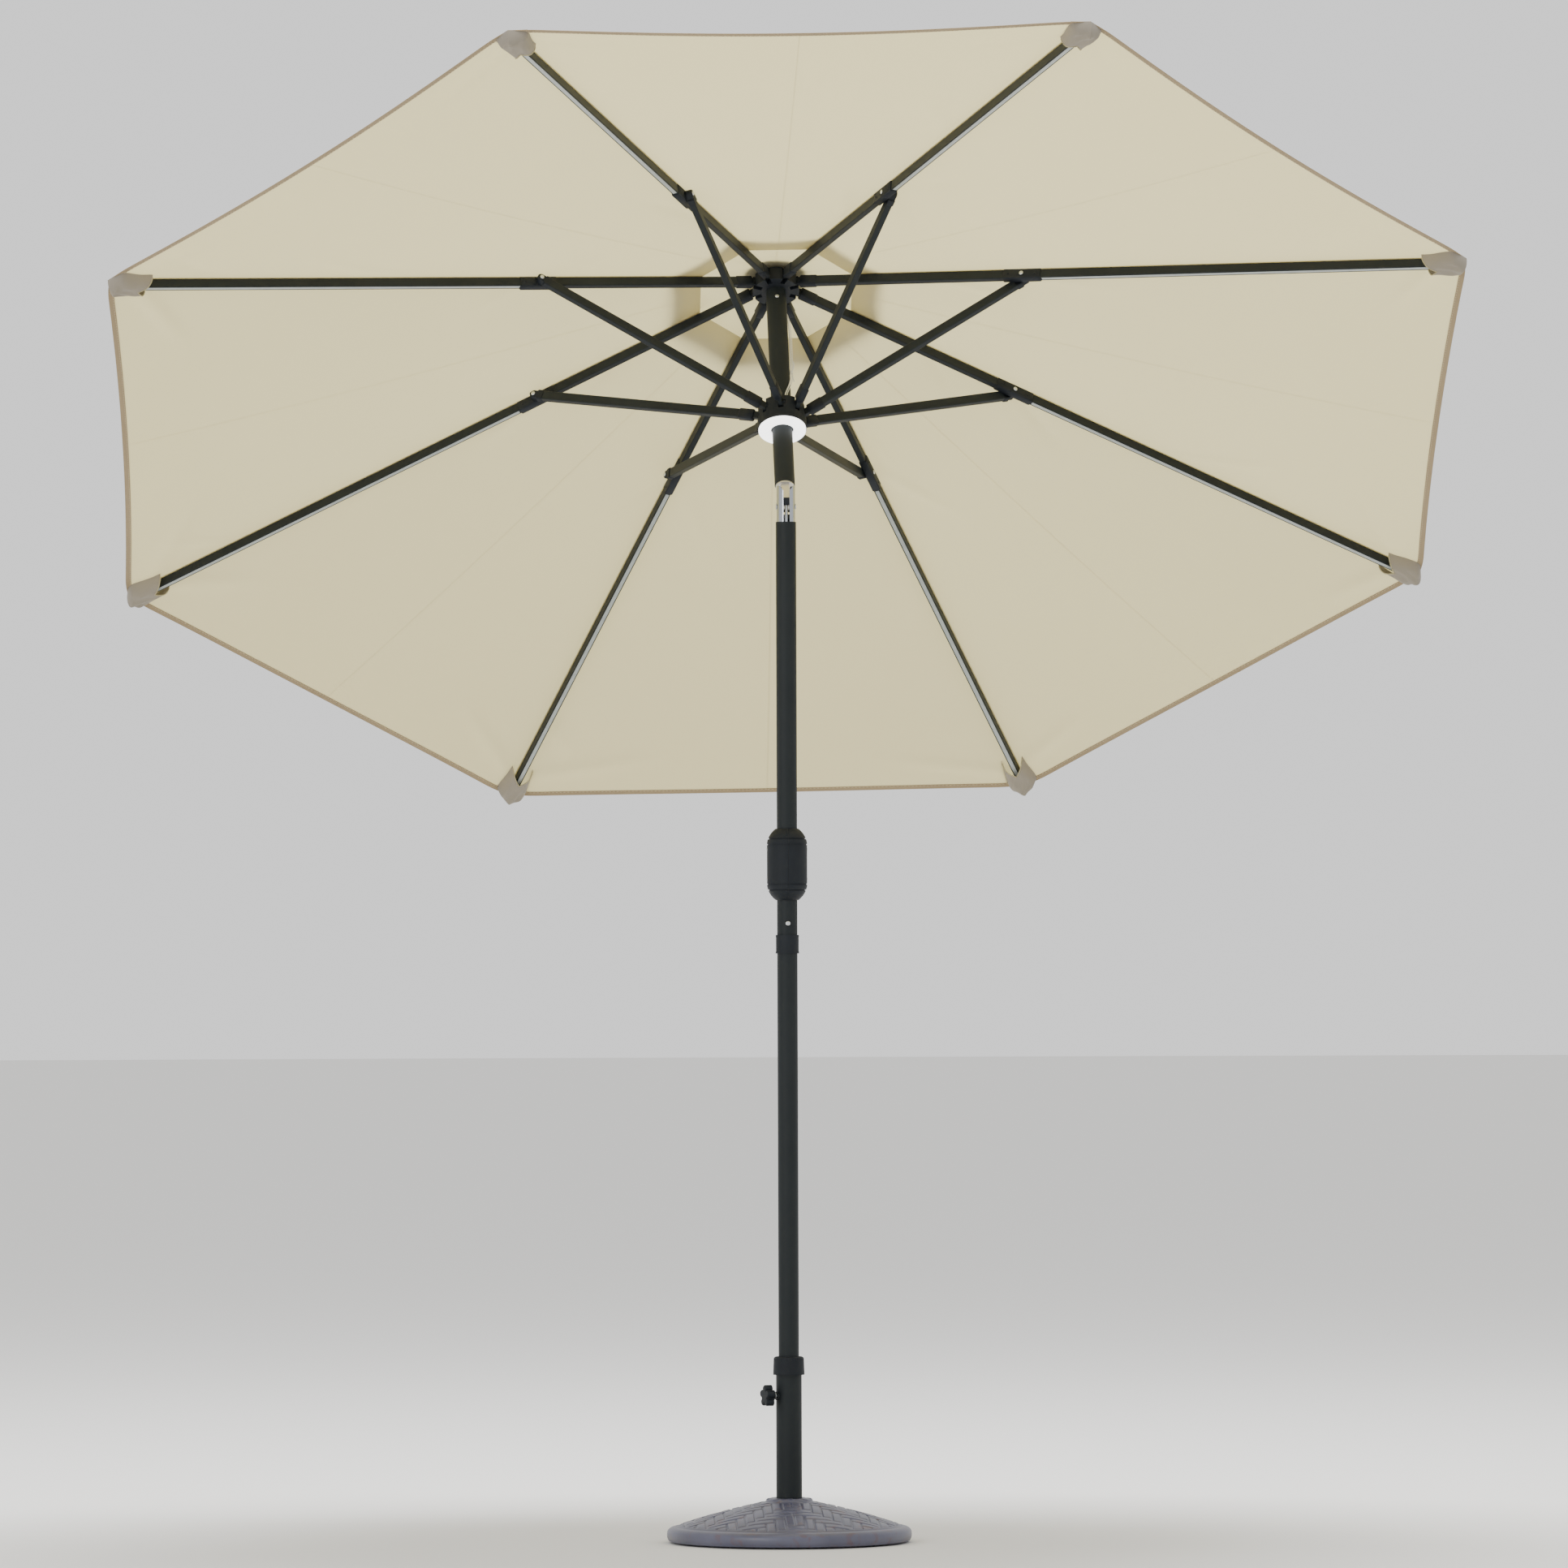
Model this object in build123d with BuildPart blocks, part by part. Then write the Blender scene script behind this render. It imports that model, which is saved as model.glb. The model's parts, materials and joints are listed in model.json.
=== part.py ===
from build123d import *

import os
from math import acos, cos, degrees, hypot, radians, sin, tan

# Tilting market umbrella with a lit canopy, on its own weighted base.
# Row frame: millimetres, +Z up, origin on the ground under the pole, +Y the way
# the canopy leans, stored open and tilted right back.

# ---- driving dimensions ----------------------------------------------------
POLE_R = 19.0
POLE_WALL = 1.5
SLIDE_GAP = 0.4
PIN_GAP = 0.05

BASE_R = 228.0
BASE_FOOT = 3.0
BASE_TOP = 80.0
BASE_TUBE_R = 24.0
BASE_TUBE_TOP = 330.0
COLLAR_BOTTOM = 312.0
COLLAR_TOP = 346.0
KNOB_Z = 273.0
KNOB_TURN = 20.0
KNOB_LOBES = 5

JOIN_Z = 1114.0
BUTTON_Z = 1152.5
CRANK_Z = 1262.5
MID_POLE_TOP = 1901.5

HINGE_Z = 1930.5
TILT = 31.8
KNUCKLE_TOP = 38.5
TONGUE_HALF_X = 7.5
TONGUE_HALF_Y = 11.0

CROWN_UP = 507.0
TUBE_END_DOWN = 459.0
PULLEY_DOWN = 37.5
HUB_R = 44.0
HUB_BORE_R = 29.0
PIVOT_R = 38.0
RUNNER_DOWN = 298.0
LENS_DOWN = 335.5

RIB_COUNT = 8
RIB_YAW = -1.7
RIB_DROOP = 14.8
RIB_WIDE = 12.0
RIB_DEEP = 19.0
RIB_TIP_R = 1338.0
STRUT_AT_R = 491.5
STRUT_WIDE = 12.0
STRUT_DEEP = 18.0
STRUT_END_R = 7.6
TUBE_WALL = 1.2
FITTING_START = 14.0
FITTING_END = 36.0
TONGUE_WIDE = 8.0
TONGUE_R = 7.0
HINGE_PIN_R = 2.5
RIVET_R = 4.0
BRACKET_HALF = 38.0
BRACKET_HALF_WIDE = 7.25
OPEN_PIVOT_GAP = 2.1

CANOPY_R = 1350.0
VENT_R = 155.0
CAP_R = 217.5
CAP_HOLE_R = 30.0
CAP_UP = 23.0
CAP_SLOPE = 10.5
CLOTH = 1.0
CLOTH_GAP = 1.2

os.makedirs("parts", exist_ok=True)

# ---- places worked out from them -------------------------------------------
lean = radians(TILT)
droop = radians(RIB_DROOP)
half_gore = radians(180 / RIB_COUNT)
hinge_plane = Plane(origin=(0, 0, HINGE_Z), x_dir=(1, 0, 0), z_dir=(0, sin(lean), cos(lean)))
crown_plane = hinge_plane.offset(CROWN_UP)
upper_axis = Axis(hinge_plane.origin, hinge_plane.z_dir)
upper_side = Plane(crown_plane.origin, x_dir=(1, 0, 0), z_dir=-crown_plane.y_dir)

pivot_run = STRUT_AT_R - PIVOT_R
rib_to_rivet = pivot_run / cos(droop)
strut_rise = RUNNER_DOWN - pivot_run * tan(droop)
strut_length = hypot(pivot_run, strut_rise)
strut_angle = acos(pivot_run / strut_length)
rib_length = (RIB_TIP_R - PIVOT_R) / cos(droop)
strut_side = BRACKET_HALF_WIDE + 0.3 + STRUT_WIDE / 2
tube_inside_r = POLE_R - POLE_WALL


def save(builder, name):
    """Label a finished piece and write it as its own STEP file."""
    builder.part.label = name
    export_step(builder.part, f"parts/{name}.step")


def side_of(frame, shift=0):
    """Plane through a frame's own x and z, moved along its y."""
    origin = frame.from_local_coords(Vector(0, shift, 0))
    return Plane(origin, x_dir=frame.x_dir, z_dir=-frame.y_dir)


def section_of(frame, along, shift=0):
    """Plane square to a frame's x, at a distance along it."""
    origin = frame.from_local_coords(Vector(along, shift, 0))
    return Plane(origin, x_dir=frame.y_dir, z_dir=frame.x_dir)


def spoke_plane(number):
    """The crown's plane, turned so that its x runs out over one rib."""
    turn = radians(RIB_YAW + (number - 0.5) * 360 / RIB_COUNT)
    outward = crown_plane.x_dir * cos(turn) + crown_plane.y_dir * sin(turn)
    return Plane(crown_plane.origin, x_dir=outward, z_dir=crown_plane.z_dir)


def rib_frame(number):
    """Origin on the rib's hinge pin, x along the rib, z out of its top."""
    spoke = spoke_plane(number)
    along = spoke.x_dir * cos(droop) - spoke.z_dir * sin(droop)
    up = spoke.x_dir * sin(droop) + spoke.z_dir * cos(droop)
    return Plane(spoke.from_local_coords(Vector(PIVOT_R, 0, 0)), x_dir=along, z_dir=up)


def strut_frame(number):
    """Origin on the strut's lower pin, x up along the strut."""
    spoke = spoke_plane(number)
    along = spoke.x_dir * cos(strut_angle) + spoke.z_dir * sin(strut_angle)
    up = spoke.z_dir * cos(strut_angle) - spoke.x_dir * sin(strut_angle)
    origin = spoke.from_local_coords(Vector(PIVOT_R, strut_side, -RUNNER_DOWN))
    return Plane(origin, x_dir=along, z_dir=up)


# ---- base: cast slab, rubber feet, welded tube, collar, clamp knob ---------
FOOT_R = 15.0
FOOT_AT_R = 190.0
FOOT_POCKET = 3.0
FLANGE_R = 70.0
FLANGE_TOP = 8.0
CENTRE_PAD_R = 32.0

with BuildPart() as base_slab:
    with BuildSketch(Plane.XZ):
        with BuildLine():
            Polyline((BASE_TUBE_R + 0.2, BASE_FOOT), (BASE_R - 6, BASE_FOOT), (BASE_R, 10), (BASE_R, 20))
            ThreePointArc((BASE_R, 20), (BASE_R - 4.5, 29.5), (BASE_R - 17, 34))
            ThreePointArc((BASE_R - 17, 34), (130, 57.5), (45, BASE_TOP - 4))
            Polyline((45, BASE_TOP - 4), (43, BASE_TOP), (BASE_TUBE_R + 0.2, BASE_TOP),
                     (BASE_TUBE_R + 0.2, BASE_FOOT))
        make_face()
    revolve(axis=Axis.Z)
    with BuildSketch(Plane.XY.offset(BASE_FOOT)):
        Circle(FLANGE_R + 0.3)
    extrude(amount=FLANGE_TOP + 0.3 - BASE_FOOT, mode=Mode.SUBTRACT)
    with BuildSketch(Plane.XY.offset(BASE_FOOT)):
        with PolarLocations(FOOT_AT_R, 4, start_angle=45):
            Circle(FOOT_R + 0.3)
    extrude(amount=FOOT_POCKET, mode=Mode.SUBTRACT)
save(base_slab, "base_slab")

with BuildPart() as base_feet:
    with BuildSketch():
        with PolarLocations(FOOT_AT_R, 4, start_angle=45):
            Circle(FOOT_R)
    extrude(amount=BASE_FOOT + FOOT_POCKET)
    with BuildSketch():
        Circle(CENTRE_PAD_R)
    extrude(amount=BASE_FOOT)
save(base_feet, "base_feet")

knob_turn = radians(KNOB_TURN)
knob_out = Vector(-cos(knob_turn), -sin(knob_turn), 0)
knob_plane = Plane((0, 0, KNOB_Z), x_dir=(0, 0, 1), z_dir=knob_out)
STUD_R = 4.0
BOSS_R = 8.0
BOSS_OUT = 26.0

with BuildPart() as base_tube:
    with BuildSketch(Plane.XY.offset(BASE_FOOT)):
        Circle(FLANGE_R)
    extrude(amount=FLANGE_TOP - BASE_FOOT)
    with BuildSketch(Plane.XY.offset(FLANGE_TOP)):
        Circle(BASE_TUBE_R)
    extrude(amount=BASE_TUBE_TOP - FLANGE_TOP)
    with BuildSketch(knob_plane.offset(BASE_TUBE_R - 4)):
        Circle(BOSS_R)
    extrude(amount=BOSS_OUT - BASE_TUBE_R + 4)
    with BuildSketch(Plane.XY.offset(FLANGE_TOP)):
        Circle(BASE_TUBE_R - 2)
    extrude(amount=BASE_TUBE_TOP - FLANGE_TOP, mode=Mode.SUBTRACT)
    with BuildSketch(knob_plane):
        Circle(STUD_R + PIN_GAP)
    extrude(amount=BOSS_OUT + 2, mode=Mode.SUBTRACT)
save(base_tube, "base_tube")

COLLAR_R = 29.3
FLUTES = 18
with BuildPart() as base_collar:
    with BuildSketch(Plane.XZ):
        with BuildLine():
            Polyline((BASE_TUBE_R + 0.1, COLLAR_BOTTOM), (COLLAR_R, COLLAR_BOTTOM),
                     (COLLAR_R - 1, COLLAR_TOP - 5))
            ThreePointArc((COLLAR_R - 1, COLLAR_TOP - 5), (COLLAR_R - 2.6, COLLAR_TOP - 1.5),
                          (COLLAR_R - 6, COLLAR_TOP))
            Polyline((COLLAR_R - 6, COLLAR_TOP), (POLE_R + SLIDE_GAP, COLLAR_TOP),
                     (POLE_R + SLIDE_GAP, COLLAR_BOTTOM - 20), (BASE_TUBE_R - 2.2, COLLAR_BOTTOM - 20),
                     (BASE_TUBE_R - 2.2, BASE_TUBE_TOP + 0.1), (BASE_TUBE_R + 0.1, BASE_TUBE_TOP + 0.1),
                     (BASE_TUBE_R + 0.1, COLLAR_BOTTOM))
        make_face()
    revolve(axis=Axis.Z)
    with BuildSketch(Plane.XY.offset(COLLAR_TOP - 7)):
        with PolarLocations(COLLAR_R + 0.6, FLUTES):
            Circle(2.2)
    extrude(amount=8, mode=Mode.SUBTRACT)
save(base_collar, "base_collar")

KNOB_IN = 30.0
KNOB_OUT = 51.0
KNOB_CORE_R = 13.3
KNOB_LOBE_R = 7.2
with BuildPart() as base_knob:
    with BuildSketch(knob_plane.offset(POLE_R + 0.6)):
        Circle(STUD_R)
    extrude(amount=KNOB_IN - POLE_R)
    with BuildSketch(knob_plane.offset(KNOB_IN)):
        Circle(7)
    with BuildSketch(knob_plane.offset(KNOB_IN + 6)):
        Circle(KNOB_CORE_R)
    loft()
    with BuildSketch(knob_plane.offset(KNOB_IN + 6)):
        Circle(KNOB_CORE_R)
        with PolarLocations(KNOB_CORE_R, KNOB_LOBES):
            Circle(KNOB_LOBE_R)
    extrude(amount=KNOB_OUT - KNOB_IN - 6)
    fillet(base_knob.edges().group_by(Axis(knob_plane.origin, knob_plane.z_dir))[-1], 3)
save(base_knob, "base_knob")

# ---- lower half of the pole: two tubes, joiner, collar, snap button --------
with BuildPart() as lower_pole:
    with BuildSketch(Plane.XY.offset(FLANGE_TOP)):
        Circle(POLE_R)
        Circle(tube_inside_r, mode=Mode.SUBTRACT)
    extrude(amount=JOIN_Z - FLANGE_TOP)
save(lower_pole, "lower_pole")

JOINER_R = tube_inside_r - 0.1
JOINER_WALL = 1.5
JOINER_HALF = 90.0
BUTTON_R = 4.5
with BuildPart() as pole_joiner:
    with BuildSketch(Plane.XY.offset(JOIN_Z - JOINER_HALF)):
        Circle(JOINER_R)
        Circle(JOINER_R - JOINER_WALL, mode=Mode.SUBTRACT)
    extrude(amount=JOINER_HALF * 2 - 20)
    with BuildSketch(Plane.XZ.offset(POLE_R / 2)):
        with Locations((0, BUTTON_Z)):
            Circle(BUTTON_R + 0.1)
    extrude(amount=POLE_R, mode=Mode.SUBTRACT)
save(pole_joiner, "pole_joiner")

MID_COLLAR_R = 21.3
with BuildPart() as mid_collar:
    with BuildSketch(Plane.XY.offset(JOIN_Z - 17.5)):
        Circle(MID_COLLAR_R)
        Circle(POLE_R, mode=Mode.SUBTRACT)
    extrude(amount=34.5)
    with BuildSketch(Plane.XY.offset(JOIN_Z - 17.5)):
        Circle(MID_COLLAR_R + 0.6)
        Circle(POLE_R, mode=Mode.SUBTRACT)
    extrude(amount=3.5)
    with BuildSketch(Plane.XY.offset(JOIN_Z + 13)):
        Circle(MID_COLLAR_R + 0.4)
        Circle(POLE_R, mode=Mode.SUBTRACT)
    extrude(amount=4)
save(mid_collar, "mid_collar")

SHAFT_R = 5.0
with BuildPart() as mid_pole:
    with BuildSketch(Plane.XY.offset(JOIN_Z)):
        Circle(POLE_R)
        Circle(tube_inside_r, mode=Mode.SUBTRACT)
    extrude(amount=MID_POLE_TOP - JOIN_Z)
    with BuildSketch(Plane.XZ.offset(POLE_R / 2)):
        with Locations((0, BUTTON_Z)):
            Circle(BUTTON_R + 0.1)
    extrude(amount=POLE_R, mode=Mode.SUBTRACT)
    with BuildSketch(Plane.XZ):
        with Locations((0, CRANK_Z)):
            Circle(SHAFT_R + PIN_GAP)
    extrude(amount=POLE_R + 1, both=True, mode=Mode.SUBTRACT)
save(mid_pole, "mid_pole")

BUTTON_OUT = 22.0
with BuildPart() as snap_button:
    with BuildSketch(Plane.XZ.offset(12.5)):
        with Locations((0, BUTTON_Z)):
            Circle(BUTTON_R + 1.5)
    extrude(amount=1.4)
    with BuildSketch(Plane.XZ.offset(12.5)):
        with Locations((0, BUTTON_Z)):
            Circle(BUTTON_R)
    extrude(amount=BUTTON_OUT - 12.5)
    fillet(snap_button.edges().group_by(Axis.Y)[0], 2.5)
save(snap_button, "snap_button")

# ---- crank: split barrel housing, spool on its shaft, arm, grip ------------
HOUSING_R = 37.5
HOUSING_HALF = 66.7
HOUSING_STRAIGHT = 40.0
HOUSING_WALL = 2.5
GROOVES = (-48.0, -37.0, 37.0, 48.0)


def housing_half(name, side):
    """One half of the barrel, split down the middle of its front and back."""
    with BuildPart() as half:
        with BuildSketch(Plane.XZ):
            with BuildLine():
                Line((POLE_R, CRANK_Z - HOUSING_HALF), (POLE_R + 2, CRANK_Z - HOUSING_HALF))
                ThreePointArc((POLE_R + 2, CRANK_Z - HOUSING_HALF), (HOUSING_R - 6.5, CRANK_Z - 56.5),
                              (HOUSING_R, CRANK_Z - HOUSING_STRAIGHT))
                Line((HOUSING_R, CRANK_Z - HOUSING_STRAIGHT), (HOUSING_R, CRANK_Z + HOUSING_STRAIGHT))
                ThreePointArc((HOUSING_R, CRANK_Z + HOUSING_STRAIGHT), (HOUSING_R - 6.5, CRANK_Z + 56.5),
                              (POLE_R + 2, CRANK_Z + HOUSING_HALF))
                Polyline((POLE_R + 2, CRANK_Z + HOUSING_HALF), (POLE_R, CRANK_Z + HOUSING_HALF),
                         (POLE_R, CRANK_Z - HOUSING_HALF))
            make_face()
        revolve(axis=Axis.Z)
        with BuildSketch(Plane.XY.offset(CRANK_Z - HOUSING_STRAIGHT - 8)):
            Circle(HOUSING_R - HOUSING_WALL - 4)
        extrude(amount=HOUSING_STRAIGHT * 2 + 16, mode=Mode.SUBTRACT)
        for groove in GROOVES:
            with BuildSketch(Plane.XY.offset(CRANK_Z + groove - 1)):
                Circle(HOUSING_R + 1)
                Circle(HOUSING_R - 1.3 - max(0, (abs(groove) - 40) * 0.35), mode=Mode.SUBTRACT)
            extrude(amount=2, mode=Mode.SUBTRACT)
        with BuildSketch(Plane.XZ):
            with Locations((0, CRANK_Z)):
                Circle(SHAFT_R + 2)
        extrude(amount=-HOUSING_R - 1, mode=Mode.SUBTRACT)
        keep = Keep.TOP if side > 0 else Keep.BOTTOM
        split(bisect_by=Plane.YZ.offset(side * 0.15), keep=keep)
    save(half, name)


housing_half("crank_housing_left", -1)
housing_half("crank_housing_right", 1)

SPOOL_R = 9.0
SPOOL_FLANGE_R = 12.5
SPOOL_HALF = 11.5
ARM_Y = 41.0
ARM_LONG = 90.0
crank_plane = Plane((0, 0, CRANK_Z), x_dir=(1, 0, 0), z_dir=(0, 1, 0))
with BuildPart() as crank_spool:
    with BuildSketch(crank_plane.offset(-POLE_R)):
        Circle(SHAFT_R)
    extrude(amount=POLE_R + ARM_Y + 8)
    with BuildSketch(crank_plane.offset(-SPOOL_HALF)):
        Circle(SPOOL_R)
    extrude(amount=SPOOL_HALF * 2)
    for end in (-SPOOL_HALF, SPOOL_HALF - 2):
        with BuildSketch(crank_plane.offset(end)):
            Circle(SPOOL_FLANGE_R)
        extrude(amount=2)
save(crank_spool, "crank_spool")

GRIP_PIN_R = 4.0
GRIP_LONG = 52.0
with BuildPart() as crank_arm:
    with BuildSketch(crank_plane.offset(ARM_Y)):
        with Locations((0, ARM_LONG / 2)):
            SlotCenterToCenter(ARM_LONG, 15, rotation=90)
        Circle(11)
        Circle(SHAFT_R, mode=Mode.SUBTRACT)
    extrude(amount=7)
    with BuildSketch(crank_plane.offset(ARM_Y + 7)):
        with Locations((0, ARM_LONG)):
            Circle(GRIP_PIN_R)
    extrude(amount=GRIP_LONG - 4)
save(crank_arm, "crank_arm")

grip_side = Plane((0, 0, CRANK_Z - ARM_LONG), x_dir=(0, 1, 0), z_dir=(1, 0, 0))
GRIP_IN = ARM_Y + 7.5
with BuildPart() as crank_grip:
    with BuildSketch(grip_side):
        with BuildLine():
            Polyline((GRIP_IN, 0), (GRIP_IN, 9))
            ThreePointArc((GRIP_IN, 9), (GRIP_IN + GRIP_LONG / 2, 12.5), (GRIP_IN + GRIP_LONG - 5, 10))
            Polyline((GRIP_IN + GRIP_LONG - 5, 10), (GRIP_IN + GRIP_LONG - 1.5, 8),
                     (GRIP_IN + GRIP_LONG, 4.5), (GRIP_IN + GRIP_LONG, 0), (GRIP_IN, 0))
        make_face()
    revolve(axis=Axis(grip_side.origin, (0, 1, 0)))
    with BuildSketch(crank_plane.offset(GRIP_IN)):
        with Locations((0, ARM_LONG)):
            Circle(GRIP_PIN_R + PIN_GAP)
    extrude(amount=GRIP_LONG - 4, mode=Mode.SUBTRACT)
save(crank_grip, "crank_grip")

# ---- tilt joint: slotted sleeve, cross pin, tongue, sprung latch -----------
KNUCKLE_R = tube_inside_r - 0.1
KNUCKLE_WALL = 2.0
KNUCKLE_DEPTH = 90.0
FRONT_SLOT = 12.0
FRONT_SLOT_LOW = 68.0
REAR_SLOT_LOW = 14.0
TILT_PIN_R = 4.0
knuckle_top_z = HINGE_Z + KNUCKLE_TOP
pin_plane = Plane((0, 0, HINGE_Z), x_dir=(0, 1, 0), z_dir=(1, 0, 0))

with BuildPart() as lower_knuckle:
    with BuildSketch(Plane.XY.offset(HINGE_Z - KNUCKLE_DEPTH)):
        Circle(KNUCKLE_R)
        Circle(KNUCKLE_R - KNUCKLE_WALL, mode=Mode.SUBTRACT)
    extrude(amount=KNUCKLE_DEPTH + KNUCKLE_TOP)
    with BuildSketch(Plane.XZ):
        with BuildLine():
            Polyline((-FRONT_SLOT / 2, HINGE_Z - FRONT_SLOT_LOW), (FRONT_SLOT / 2, HINGE_Z - FRONT_SLOT_LOW),
                     (FRONT_SLOT / 2, knuckle_top_z - 9), (14, knuckle_top_z + 1),
                     (-14, knuckle_top_z + 1), (-FRONT_SLOT / 2, knuckle_top_z - 9),
                     (-FRONT_SLOT / 2, HINGE_Z - FRONT_SLOT_LOW))
        make_face()
    extrude(amount=KNUCKLE_R + 1, mode=Mode.SUBTRACT)
    with BuildSketch(Plane.XZ):
        with Locations((0, HINGE_Z - REAR_SLOT_LOW + 40)):
            Rectangle(TONGUE_HALF_X * 2 + 3, 80)
    extrude(amount=-KNUCKLE_R - 1, mode=Mode.SUBTRACT)
    with BuildSketch(pin_plane):
        Circle(TILT_PIN_R)
    extrude(amount=POLE_R + 1, both=True, mode=Mode.SUBTRACT)
save(lower_knuckle, "lower_knuckle")

with BuildPart() as tilt_pin:
    with BuildSketch(pin_plane):
        Circle(TILT_PIN_R)
    extrude(amount=KNUCKLE_R + 1.2, both=True)
    for side in (-1, 1):
        with BuildSketch(pin_plane.offset(side * (KNUCKLE_R + 0.7))):
            Circle(TILT_PIN_R + 1.5)
        extrude(amount=0.6, both=True)
save(tilt_pin, "tilt_pin")

with BuildPart() as upper_knuckle:
    with BuildSketch(crown_plane.offset(-TUBE_END_DOWN - 3)):
        Circle(KNUCKLE_R)
    extrude(amount=95)
    with BuildSketch(hinge_plane):
        Rectangle(TONGUE_HALF_X * 2, TONGUE_HALF_Y * 2)
    extrude(amount=CROWN_UP - TUBE_END_DOWN - 2)
    with BuildSketch(pin_plane):
        Circle(TONGUE_HALF_Y)
    extrude(amount=TONGUE_HALF_X, both=True)
    with BuildSketch(pin_plane):
        Circle(TILT_PIN_R + PIN_GAP)
    extrude(amount=TONGUE_HALF_X + 1, both=True, mode=Mode.SUBTRACT)
save(upper_knuckle, "upper_knuckle")

LATCH_FRONT = 17.2
LATCH_BACK = 11.5
LATCH_LOW = 3.0
LATCH_HIGH = 16.0
LATCH_ROD_R = 2.8
with BuildPart() as tilt_latch:
    with BuildSketch(Plane.XY.offset(HINGE_Z + LATCH_LOW)):
        with Locations((0, -(LATCH_FRONT + LATCH_BACK) / 2)):
            Rectangle(FRONT_SLOT - 0.8, LATCH_FRONT - LATCH_BACK)
    extrude(amount=LATCH_HIGH - LATCH_LOW)
    with BuildSketch(Plane.XY.offset(HINGE_Z - 55)):
        with Locations((0, -(LATCH_FRONT + LATCH_BACK) / 2)):
            Circle(LATCH_ROD_R)
    extrude(amount=LATCH_LOW + 56)
save(tilt_latch, "tilt_latch")

# ---- top of the pole: tube, crown, hinge pins, pulley, solar cap -----------
PULLEY_R = 13.0
PULLEY_AXLE_R = 2.5
with BuildPart() as upper_pole:
    with BuildSketch(crown_plane.offset(-TUBE_END_DOWN)):
        Circle(POLE_R)
        Circle(tube_inside_r, mode=Mode.SUBTRACT)
    extrude(amount=TUBE_END_DOWN + 12)
    with BuildSketch(upper_side):
        with Locations((POLE_R, -PULLEY_DOWN - 28)):
            RectangleRounded(12, 40, 2)
    extrude(amount=3.5, both=True, mode=Mode.SUBTRACT)
    with BuildSketch(upper_side):
        with Locations((0, -PULLEY_DOWN)):
            Circle(PULLEY_AXLE_R)
    extrude(amount=POLE_R + 1.3, both=True)
    for end in (-POLE_R - 1.3, POLE_R - 0.5):
        with BuildSketch(upper_side.offset(end)):
            with Locations((0, -PULLEY_DOWN)):
                Circle(4)
        extrude(amount=1.8)
save(upper_pole, "upper_pole")

with BuildPart() as lift_pulley:
    with BuildSketch(upper_side.offset(-3)):
        with Locations((0, -PULLEY_DOWN)):
            Circle(PULLEY_R)
            Circle(PULLEY_AXLE_R + PIN_GAP, mode=Mode.SUBTRACT)
    extrude(amount=6)
    with BuildSketch(upper_side.offset(-1.7)):
        with Locations((0, -PULLEY_DOWN)):
            Circle(PULLEY_R + 1)
            Circle(PULLEY_R - 2.5, mode=Mode.SUBTRACT)
    extrude(amount=3.4, mode=Mode.SUBTRACT)
save(lift_pulley, "lift_pulley")

SLOT_WIDE = 9.5
CROWN_HALF = 14.0
with BuildPart() as crown:
    with BuildSketch(crown_plane.offset(-CROWN_HALF)):
        Circle(HUB_R)
    extrude(amount=CROWN_HALF * 2)
    with BuildSketch(crown_plane.offset(CROWN_HALF)):
        Circle(22)
    extrude(amount=12)
    with BuildSketch(crown_plane.offset(-CROWN_HALF)):
        Circle(POLE_R)
    extrude(amount=CROWN_HALF + 12, mode=Mode.SUBTRACT)
    for number in range(1, RIB_COUNT + 1):
        with BuildSketch(spoke_plane(number)):
            with Locations((HUB_BORE_R + 15, 0)):
                Rectangle(30, SLOT_WIDE)
        extrude(amount=CROWN_HALF + 1, both=True, mode=Mode.SUBTRACT)
        with BuildSketch(side_of(rib_frame(number))):
            Circle(HINGE_PIN_R)
        extrude(amount=8.5, both=True, mode=Mode.SUBTRACT)
save(crown, "crown")

with BuildPart() as crown_pins:
    for number in range(1, RIB_COUNT + 1):
        with BuildSketch(side_of(rib_frame(number))):
            Circle(HINGE_PIN_R)
        extrude(amount=8.5, both=True)
save(crown_pins, "crown_pins")

SOLAR_R = 62.0
SOLAR_LOW = 27.5
SOLAR_HIGH = 47.0
PANEL_R = 46.0
with BuildPart() as solar_housing:
    with BuildSketch(upper_side):
        with BuildLine():
            Polyline((0, CROWN_HALF + 12), (20, CROWN_HALF + 12), (20, SOLAR_LOW), (SOLAR_R, SOLAR_LOW),
                     (SOLAR_R, SOLAR_LOW + 5))
            ThreePointArc((SOLAR_R, SOLAR_LOW + 5), (SOLAR_R - 4, SOLAR_HIGH - 5),
                          (PANEL_R + 2, SOLAR_HIGH))
            Polyline((PANEL_R + 2, SOLAR_HIGH), (0, SOLAR_HIGH), (0, CROWN_HALF + 12))
        make_face()
    revolve(axis=upper_axis)
    with BuildSketch(crown_plane.offset(SOLAR_HIGH - 3)):
        Circle(PANEL_R)
    extrude(amount=4, mode=Mode.SUBTRACT)
save(solar_housing, "solar_housing")

with BuildPart() as solar_panel:
    with BuildSketch(crown_plane.offset(SOLAR_HIGH - 3)):
        Circle(PANEL_R)
    extrude(amount=2.2)
save(solar_panel, "solar_panel")

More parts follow.
